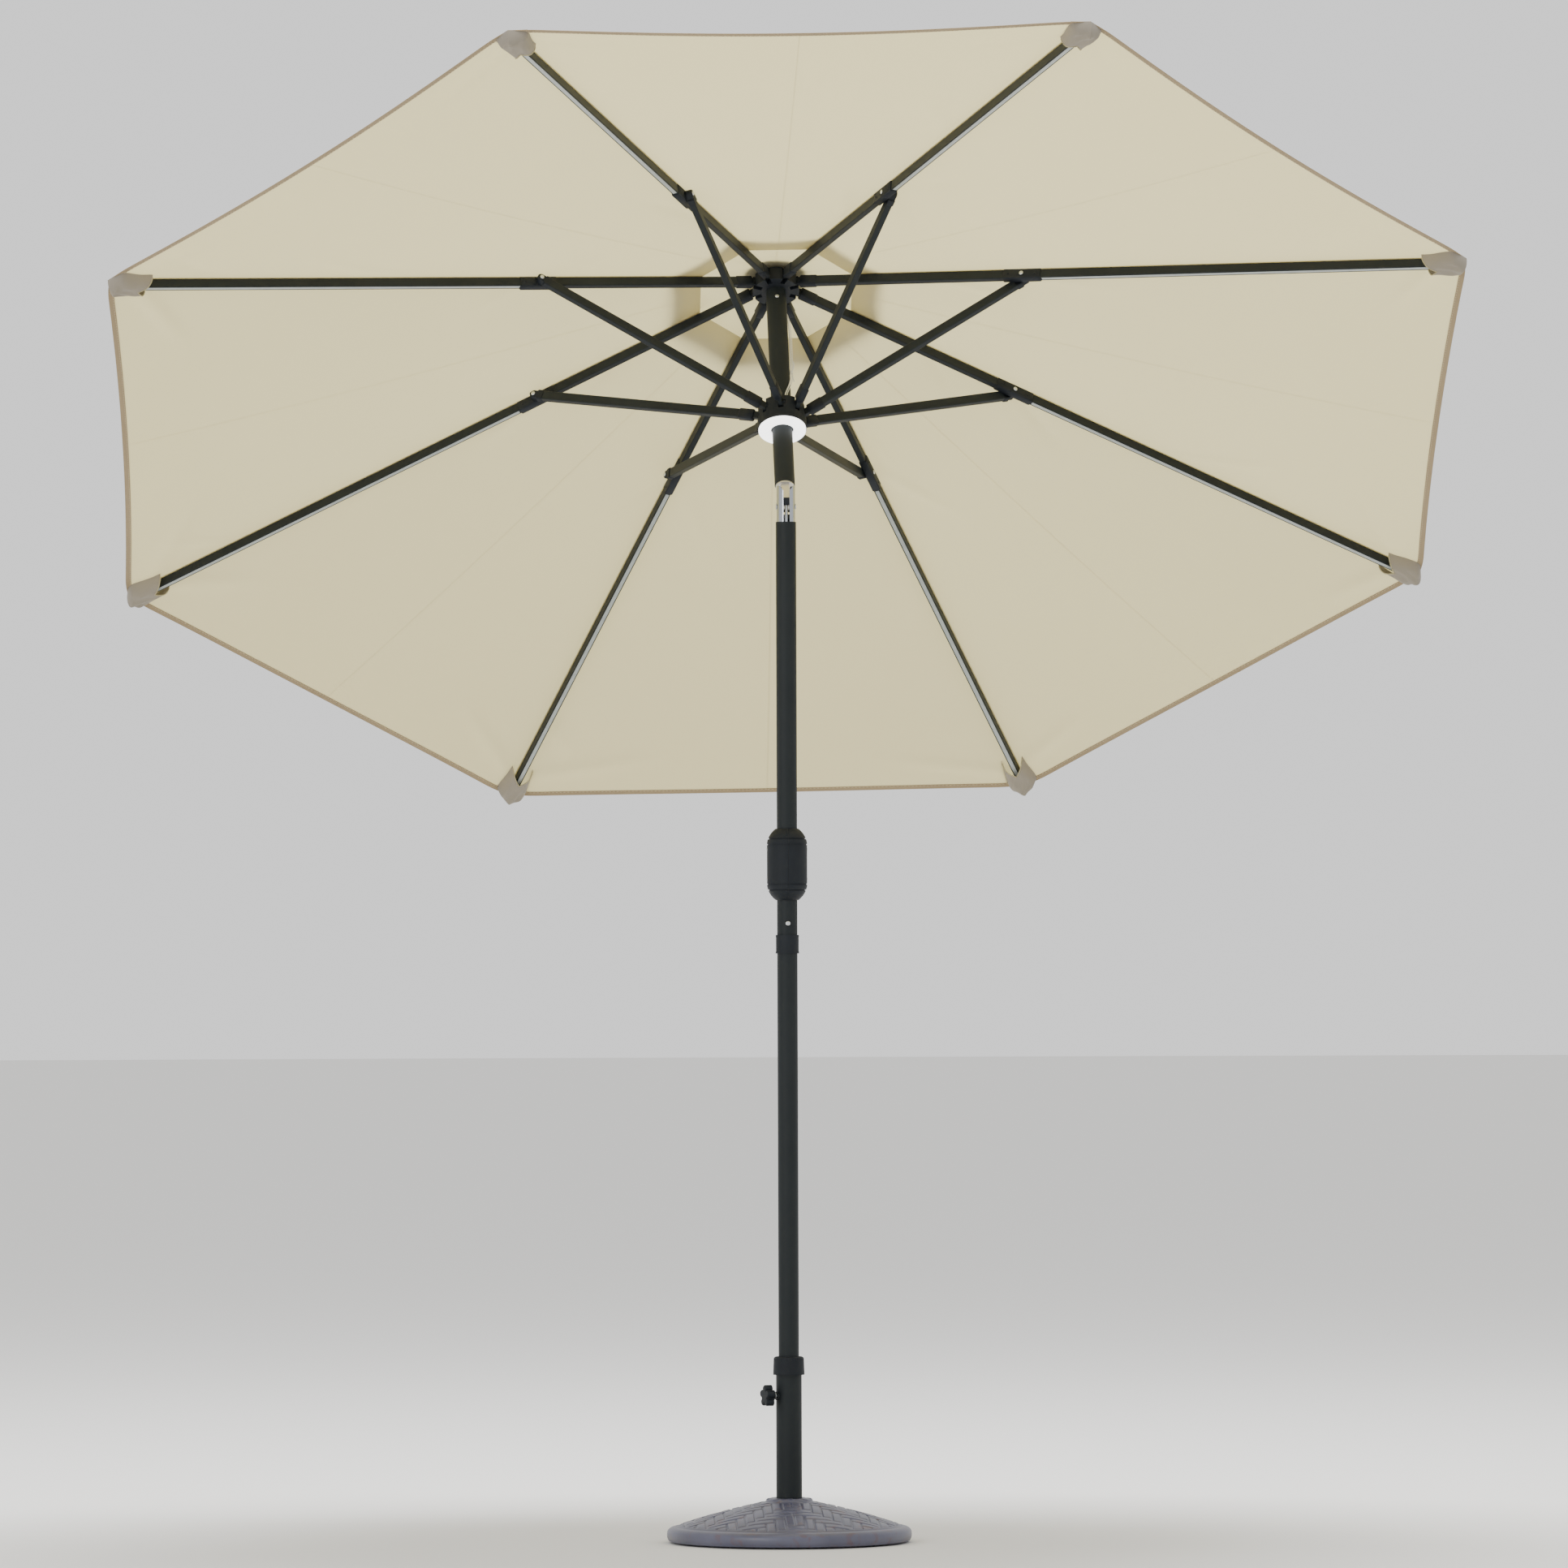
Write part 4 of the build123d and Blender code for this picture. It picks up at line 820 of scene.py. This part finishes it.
def stretch_with_fold(piece, k):
    """Gives the piece its own mesh and has it ride on the rib."""
    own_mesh(piece)
    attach(piece, f"rib_unit_{k + 1}")


sections = []
for k in range(8):
    folds = []
    for start in (0.30, 0.46, 0.49, 0.78, 1.12):
        folds.append((start + chance.uniform(-0.03, 0.03), chance.choice((-1, 1)),
                      math.radians(chance.uniform(14, 48)), chance.uniform(0.12, 0.30),
                      chance.uniform(0.010, 0.016), chance.uniform(-0.0042, 0.0030)))
    for start in (1.30, 1.31):
        folds.append((start, 1 if start > 1.305 else -1, math.radians(chance.uniform(120, 150)),
                      chance.uniform(0.20, 0.34), chance.uniform(0.012, 0.018),
                      chance.uniform(-0.0042, -0.0020)))
    under = cloth_spot(k, down_rows[:, None], across_rows[None, :], 0, folds)
    over = cloth_spot(k, down_rows[:, None], across_rows[None, :], CLOTH_THICK, folds)
    section = make_piece(f"canopy_cloth_{k + 1}", *shell(under, over), polyester, None, "canopy_cloth")
    lay_weave(section, k)
    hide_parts(f"canopy_{k + 1}")
    sections.append(section)

# ---- Tip pockets -------------------------------------------------------------------------------
# A folded pocket of the greige lining cloth is sewn under each corner, spreading to the hem.
# The rib's end pushes into it and stretches the canopy. Its mouth is cut to a vee.
POCKET_MOUTH, POCKET_VEE = 0.082, 0.021
POCKET_MOUTH_HALF, POCKET_HEM_HALF = 0.0225, 0.031
POCKET_DEEP = 0.0275
lining = woven("greige_lining_canvas", "#9f9788", "#938a7b", "#b9ae97", 0.25)
pockets = []
for k in range(8):
    aside = np.linspace(-1, 1, 29)[None, :]
    slack = chance.uniform(0.6, 1.2, 3)
    grids = []
    for inset in (0.0, 0.0008):
        places = np.concatenate([np.linspace(0, 0.13, 7)[:-1], np.linspace(0.13, 1, 22)])[:, None]
        mouth = CANOPY_R - (POCKET_MOUTH - POCKET_VEE * np.clip(1 - np.abs(aside) / 0.9, 0, 1))
        toe = np.clip(places / 0.13, 0, 1)
        run = np.clip((places - 0.13) / 0.87, 0, 1)
        turn = toe * math.pi / 2
        toe_out = CANOPY_R - 0.0130 + (0.0105 - inset) * np.cos(turn)
        far = toe_out * (1 - run) + mouth * run
        half = POCKET_MOUTH_HALF + (POCKET_HEM_HALF - POCKET_MOUTH_HALF) * (1 - run)
        round_off = 1 - np.abs(aside) ** 5
        drop = (POCKET_DEEP - inset) * np.sin(turn) * round_off * (1 + 0.05 * run)
        ripple = 0.0011 * (slack[0] * np.sin(9 * aside + 7 * places)
                           + slack[1] * np.sin(5 * places - 4 * aside + slack[2]))
        drop = drop + ripple * round_off * toe * (1 - run) * 2
        across = aside * (half - inset * 0.6)
        hem_turn = np.abs(across) * math.tan(math.pi / 8) * (1 - run)
        far = np.broadcast_to(far - 0.3 * HEM_HOLLOW * (np.abs(aside) * (1 - run)) - hem_turn, drop.shape)
        up = 0.0211 - 0.2642 * far - drop - 0.0004
        grids.append(over_rib(k, far, np.broadcast_to(across, drop.shape), up))
    pocket = make_piece(f"tip_pocket_{k + 1}", *shell(*grids), lining, None, "canopy_cloth")
    lay_weave(pocket, k)
    mouth_line = swept(grids[0][-1][1:-1], 0.0011, 8)
    piping = make_piece(f"pocket_piping_{k + 1}", *lofted(mouth_line), polyester, None, "canopy_cloth")
    lay_weave(piping, k)
    pockets.append([pocket, piping])

# ---- Hem binding and seam tape -----------------------------------------------------------------
# The hem is bound with a folded tan tape, and a flat tape covers the seam over each rib on
# the weather side. Both are stitched through.
BINDING_WIDE = 0.0100
TAPE_HALF = 0.0075
tape = woven("tan_binding_tape", "#a08d6b", "#8f7c5c", "#a3906c", 0.12)
trims = []
for k in range(8):
    loops = []
    for far, lift in ((CANOPY_R - BINDING_WIDE, -0.0006), (CANOPY_R + 0.0004, -0.0006),
                      (CANOPY_R + 0.0012, 0.0003), (CANOPY_R + 0.0004, CLOTH_THICK + 0.0006),
                      (CANOPY_R - BINDING_WIDE, CLOTH_THICK + 0.0006)):
        loops.append(cloth_spot(k, far, across_rows, lift))
    binding = [np.array(ring) for ring in np.stack(loops, axis=1)]
    points, faces = lofted(binding)
    trim = make_piece(f"hem_binding_{k + 1}", points, faces, tape, None, "canopy_cloth")
    lay_weave(trim, k)
    seam_far = np.linspace(VENT_R + 0.003, CANOPY_R - 0.004, 90)[:, None]
    seam_x = np.linspace(-1, 1, 5)[None, :] * TAPE_HALF / (seam_far * CROSS_WIDE)
    low_face = cloth_spot(k, seam_far, seam_x, CLOTH_THICK + 0.0001)
    high_face = cloth_spot(k, seam_far, seam_x * 0.97, CLOTH_THICK + 0.0008)
    seam = make_piece(f"seam_tape_{k + 1}", *shell(low_face, high_face), polyester, None, "canopy_cloth")
    lay_weave(seam, k)
    trims.append([trim, seam])

# ---- Vent cap ----------------------------------------------------------------------------------
# A second small canopy over the vent, sewn down at the ribs and loose between them so that
# wind can escape. Its edge is bound like the hem.
CAP_IN, CAP_OUT = 0.030, 0.2175
CAP_DIP, CAP_BILLOW = 0.0150, 0.0045
caps = []
cap_x = np.linspace(-0.5, 0.5, 33)


def cap_spot(k, far, x, lift):
    """Points of the cap's underside over rib k."""
    far, x = np.broadcast_arrays(np.asarray(far, float), np.asarray(x, float))
    side = gore_side(x)
    edge = smoothstep((far - 0.10) / (CAP_OUT - 0.10))
    up = 0.02856 - 0.1853 * far - CAP_DIP * edge * (1 - side) ** 2 + CAP_BILLOW * edge * side
    up = up + 0.0012 * np.sin(far * 60 + k) * side * (1 - side) * 3
    pulled = far - 0.006 * side * edge
    return over_rib(k, pulled * (1 - CROSS_FALL * np.abs(x)), pulled * CROSS_WIDE * x, up + lift)


for k in range(8):
    cap_far = np.linspace(CAP_IN, CAP_OUT, 29)
    grids = [cap_spot(k, cap_far[:, None], cap_x[None, :], lift) for lift in (0, CLOTH_THICK)]
    cap = make_piece(f"vent_cap_{k + 1}", *shell(*grids), polyester, None, "canopy_cloth")
    lay_weave(cap, k)
    caps.append(cap)
    edge_loops = [cap_spot(k, far, cap_x, lift) for far, lift in
                  ((CAP_OUT - 0.008, -0.0005), (CAP_OUT + 0.0008, -0.0005),
                   (CAP_OUT + 0.0008, CLOTH_THICK + 0.0005), (CAP_OUT - 0.008, CLOTH_THICK + 0.0005))]
    edge_rings = [np.array(ring) for ring in np.stack(edge_loops, axis=1)]
    cap_edge = make_piece(f"cap_binding_{k + 1}", *lofted(edge_rings), tape, None, "canopy_cloth")
    lay_weave(cap_edge, k)
    trims[k].append(cap_edge)

# ---- Stitches ----------------------------------------------------------------------------------
# Two rows of lockstitch down each seam and a row round the hem on each face of the binding,
# in thread a shade lighter than the tape. The thread and the step are drawn coarser than life.
STITCH_LONG, STITCH_STEP, THREAD_R = 0.0048, 0.0075, 0.0005
thread = new_finish("bonded_polyester_thread")
where = add(thread, "ShaderNodeTexCoord")
ply = add(thread, "ShaderNodeTexNoise", {"Vector": where.outputs["Object"], "Scale": 800.0})
strand = add(thread, "ShaderNodeMix", {0: ply.outputs["Fac"], 6: srgb("#c7bb9c"), 7: srgb("#b5a888")},
             data_type="RGBA")
twist = add(thread, "ShaderNodeBsdfPrincipled", {"Base Color": strand.outputs[2], "Roughness": 0.6,
                                                 "IOR": 1.5})
add(thread, "ShaderNodeOutputMaterial", {"Surface": twist.outputs["BSDF"]})


def stitch_tree():
    """Short rounded stitches, one after another along every guide line."""
    tree, given, result = named_tree("running_stitches", ("Stitch Long", "Stitch Step", "Thread Radius"))
    make, link = tree.nodes.new, tree.links.new
    lines, dots = make("GeometryNodeMeshToCurve"), make("GeometryNodeCurveToPoints")
    one = make("GeometryNodeMeshUVSphere")
    half, size, stretch = make("ShaderNodeMath"), make("ShaderNodeCombineXYZ"), make("GeometryNodeTransform")
    place, real = make("GeometryNodeInstanceOnPoints"), make("GeometryNodeRealizeInstances")
    smooth, paint = make("GeometryNodeSetShadeSmooth"), make("GeometryNodeSetMaterial")
    dots.mode = "LENGTH"
    one.inputs["Segments"].default_value = 6
    one.inputs["Rings"].default_value = 4
    half.operation = "MULTIPLY"
    half.inputs[1].default_value = 0.5
    link(given.outputs["Geometry"], lines.inputs["Mesh"])
    link(lines.outputs["Curve"], dots.inputs["Curve"])
    link(given.outputs["Stitch Step"], dots.inputs["Length"])
    link(given.outputs["Stitch Long"], half.inputs[0])
    link(given.outputs["Thread Radius"], size.inputs["X"])
    link(given.outputs["Thread Radius"], size.inputs["Y"])
    link(half.outputs["Value"], size.inputs["Z"])
    link(one.outputs["Mesh"], stretch.inputs["Geometry"])
    link(size.outputs["Vector"], stretch.inputs["Scale"])
    link(dots.outputs["Points"], place.inputs["Points"])
    link(dots.outputs["Rotation"], place.inputs["Rotation"])
    link(stretch.outputs["Geometry"], place.inputs["Instance"])
    link(place.outputs["Instances"], real.inputs["Geometry"])
    link(real.outputs["Geometry"], smooth.inputs["Geometry"])
    link(smooth.outputs["Geometry"], paint.inputs["Geometry"])
    link(given.outputs["Finish"], paint.inputs["Material"])
    link(paint.outputs["Geometry"], result.inputs["Geometry"])
    return tree


stitches = stitch_tree()
for k in range(8):
    rows = []
    seam_far = np.linspace(VENT_R + 0.006, CANOPY_R - 0.006, 80)
    for hand in (-1, 1):
        rows.append(cloth_spot(k, seam_far, hand * 0.0058 / (seam_far * CROSS_WIDE), CLOTH_THICK + 0.0009))
    for lift in (-0.0007, CLOTH_THICK + 0.0007):
        rows.append(cloth_spot(k, CANOPY_R - BINDING_WIDE * 0.8, np.linspace(-0.497, 0.497, 97), lift))
    guide_points = np.concatenate(rows)
    guide_edges, first = [], 0
    for row in rows:
        guide_edges += [(first + i, first + i + 1) for i in range(len(row) - 1)]
        first += len(row)
    trims[k].append(grow(f"stitching_{k + 1}", stitches, guide_points, guide_edges, thread, None,
                         "canopy_cloth", stitch_long=STITCH_LONG, stitch_step=STITCH_STEP,
                         thread_radius=THREAD_R))

# Every cloth piece over a rib moves with that rib.
for k in range(8):
    for piece in (sections[k], caps[k], *pockets[k], *trims[k]):
        stretch_with_fold(piece, k)

# ---- Solar cap ---------------------------------------------------------------------------------
# A round solar cell under clear resin is set in the top of the cap. It is nearly black, with
# the fine silver lines that gather its current.
solar = new_finish("resin_covered_solar_cell")
where = add(solar, "ShaderNodeTexCoord")
# The gathering lines are 8 mm apart.
fingers = add(solar, "ShaderNodeTexWave", {"Vector": where.outputs["Object"], "Scale": 20.0},
              bands_direction="X")
thin = add(solar, "ShaderNodeMapRange", {"Value": fingers.outputs["Fac"], "From Min": 0.97,
                                         "From Max": 0.995})
cell = add(solar, "ShaderNodeMix", {0: thin.outputs["Result"], 6: srgb("#0d1222"), 7: srgb("#9aa2ab")},
           data_type="RGBA")
glass = add(solar, "ShaderNodeBsdfPrincipled", {"Base Color": cell.outputs[2], "Roughness": 0.25, "IOR": 1.5,
                                                "Coat Weight": 0.8, "Coat Roughness": 0.05})
add(solar, "ShaderNodeOutputMaterial", {"Surface": glass.outputs["BSDF"]})
dress(solar, "solar_panel")

# ---- Floor, light and camera -------------------------------------------------------------------
# A plain pale floor under an even white sky, a broad soft lamp overhead that shines through
# the cloth, and a low one in front. The camera stands well back with a long lens.
FLOOR_R = 90.0
pale = new_finish("pale_floor")
ground = add(pale, "ShaderNodeBsdfPrincipled", {"Base Color": srgb("#e6e5e2"), "Roughness": 0.9})
add(pale, "ShaderNodeOutputMaterial", {"Surface": ground.outputs["BSDF"]})
floor_mesh = bpy.data.meshes.new("floor")
floor_mesh.from_pydata([(FLOOR_R * math.cos(a), FLOOR_R * math.sin(a), 0) for a in slab_turns], [],
                       [tuple(range(SLAB_ROUND))])
floor_mesh.materials.append(pale)
floor = bpy.data.objects.new("floor", floor_mesh)
bpy.context.scene.collection.objects.link(floor)

sky = bpy.data.worlds.new("white_studio")
sky.use_nodes = True
sky.node_tree.nodes["Background"].inputs["Color"].default_value = srgb("#ffffff")
sky.node_tree.nodes["Background"].inputs["Strength"].default_value = 1.1
bpy.context.scene.world = sky


def soft_lamp(name, spot, aim, wide, watts):
    """A broad square lamp turned towards a point."""
    lamp = bpy.data.lights.new(name, "AREA")
    lamp.size = wide
    lamp.energy = watts
    holder = bpy.data.objects.new(name, lamp)
    holder.location = spot
    holder.rotation_euler = (Vector(aim) - Vector(spot)).to_track_quat("-Z", "Y").to_euler()
    bpy.context.scene.collection.objects.link(holder)


soft_lamp("overhead_softbox", (0.4, 1.2, 7.5), (0, 0.2, 2.2), 5.0, 900)
soft_lamp("front_softbox", (-5.0, -7.0, 2.6), (0, 0, 1.4), 3.0, 170)

camera_lens = bpy.data.cameras.new("long_lens")
camera_lens.lens = 215.8
camera_lens.sensor_width = 36.0
camera_lens.clip_end = 300.0
camera = bpy.data.objects.new("camera", camera_lens)
camera.location = (-1.165, -17.49, 1.079)
camera.rotation_euler = (math.radians(91.09), math.radians(0.2), math.radians(-3.79))
bpy.context.scene.collection.objects.link(camera)
bpy.context.scene.camera = camera
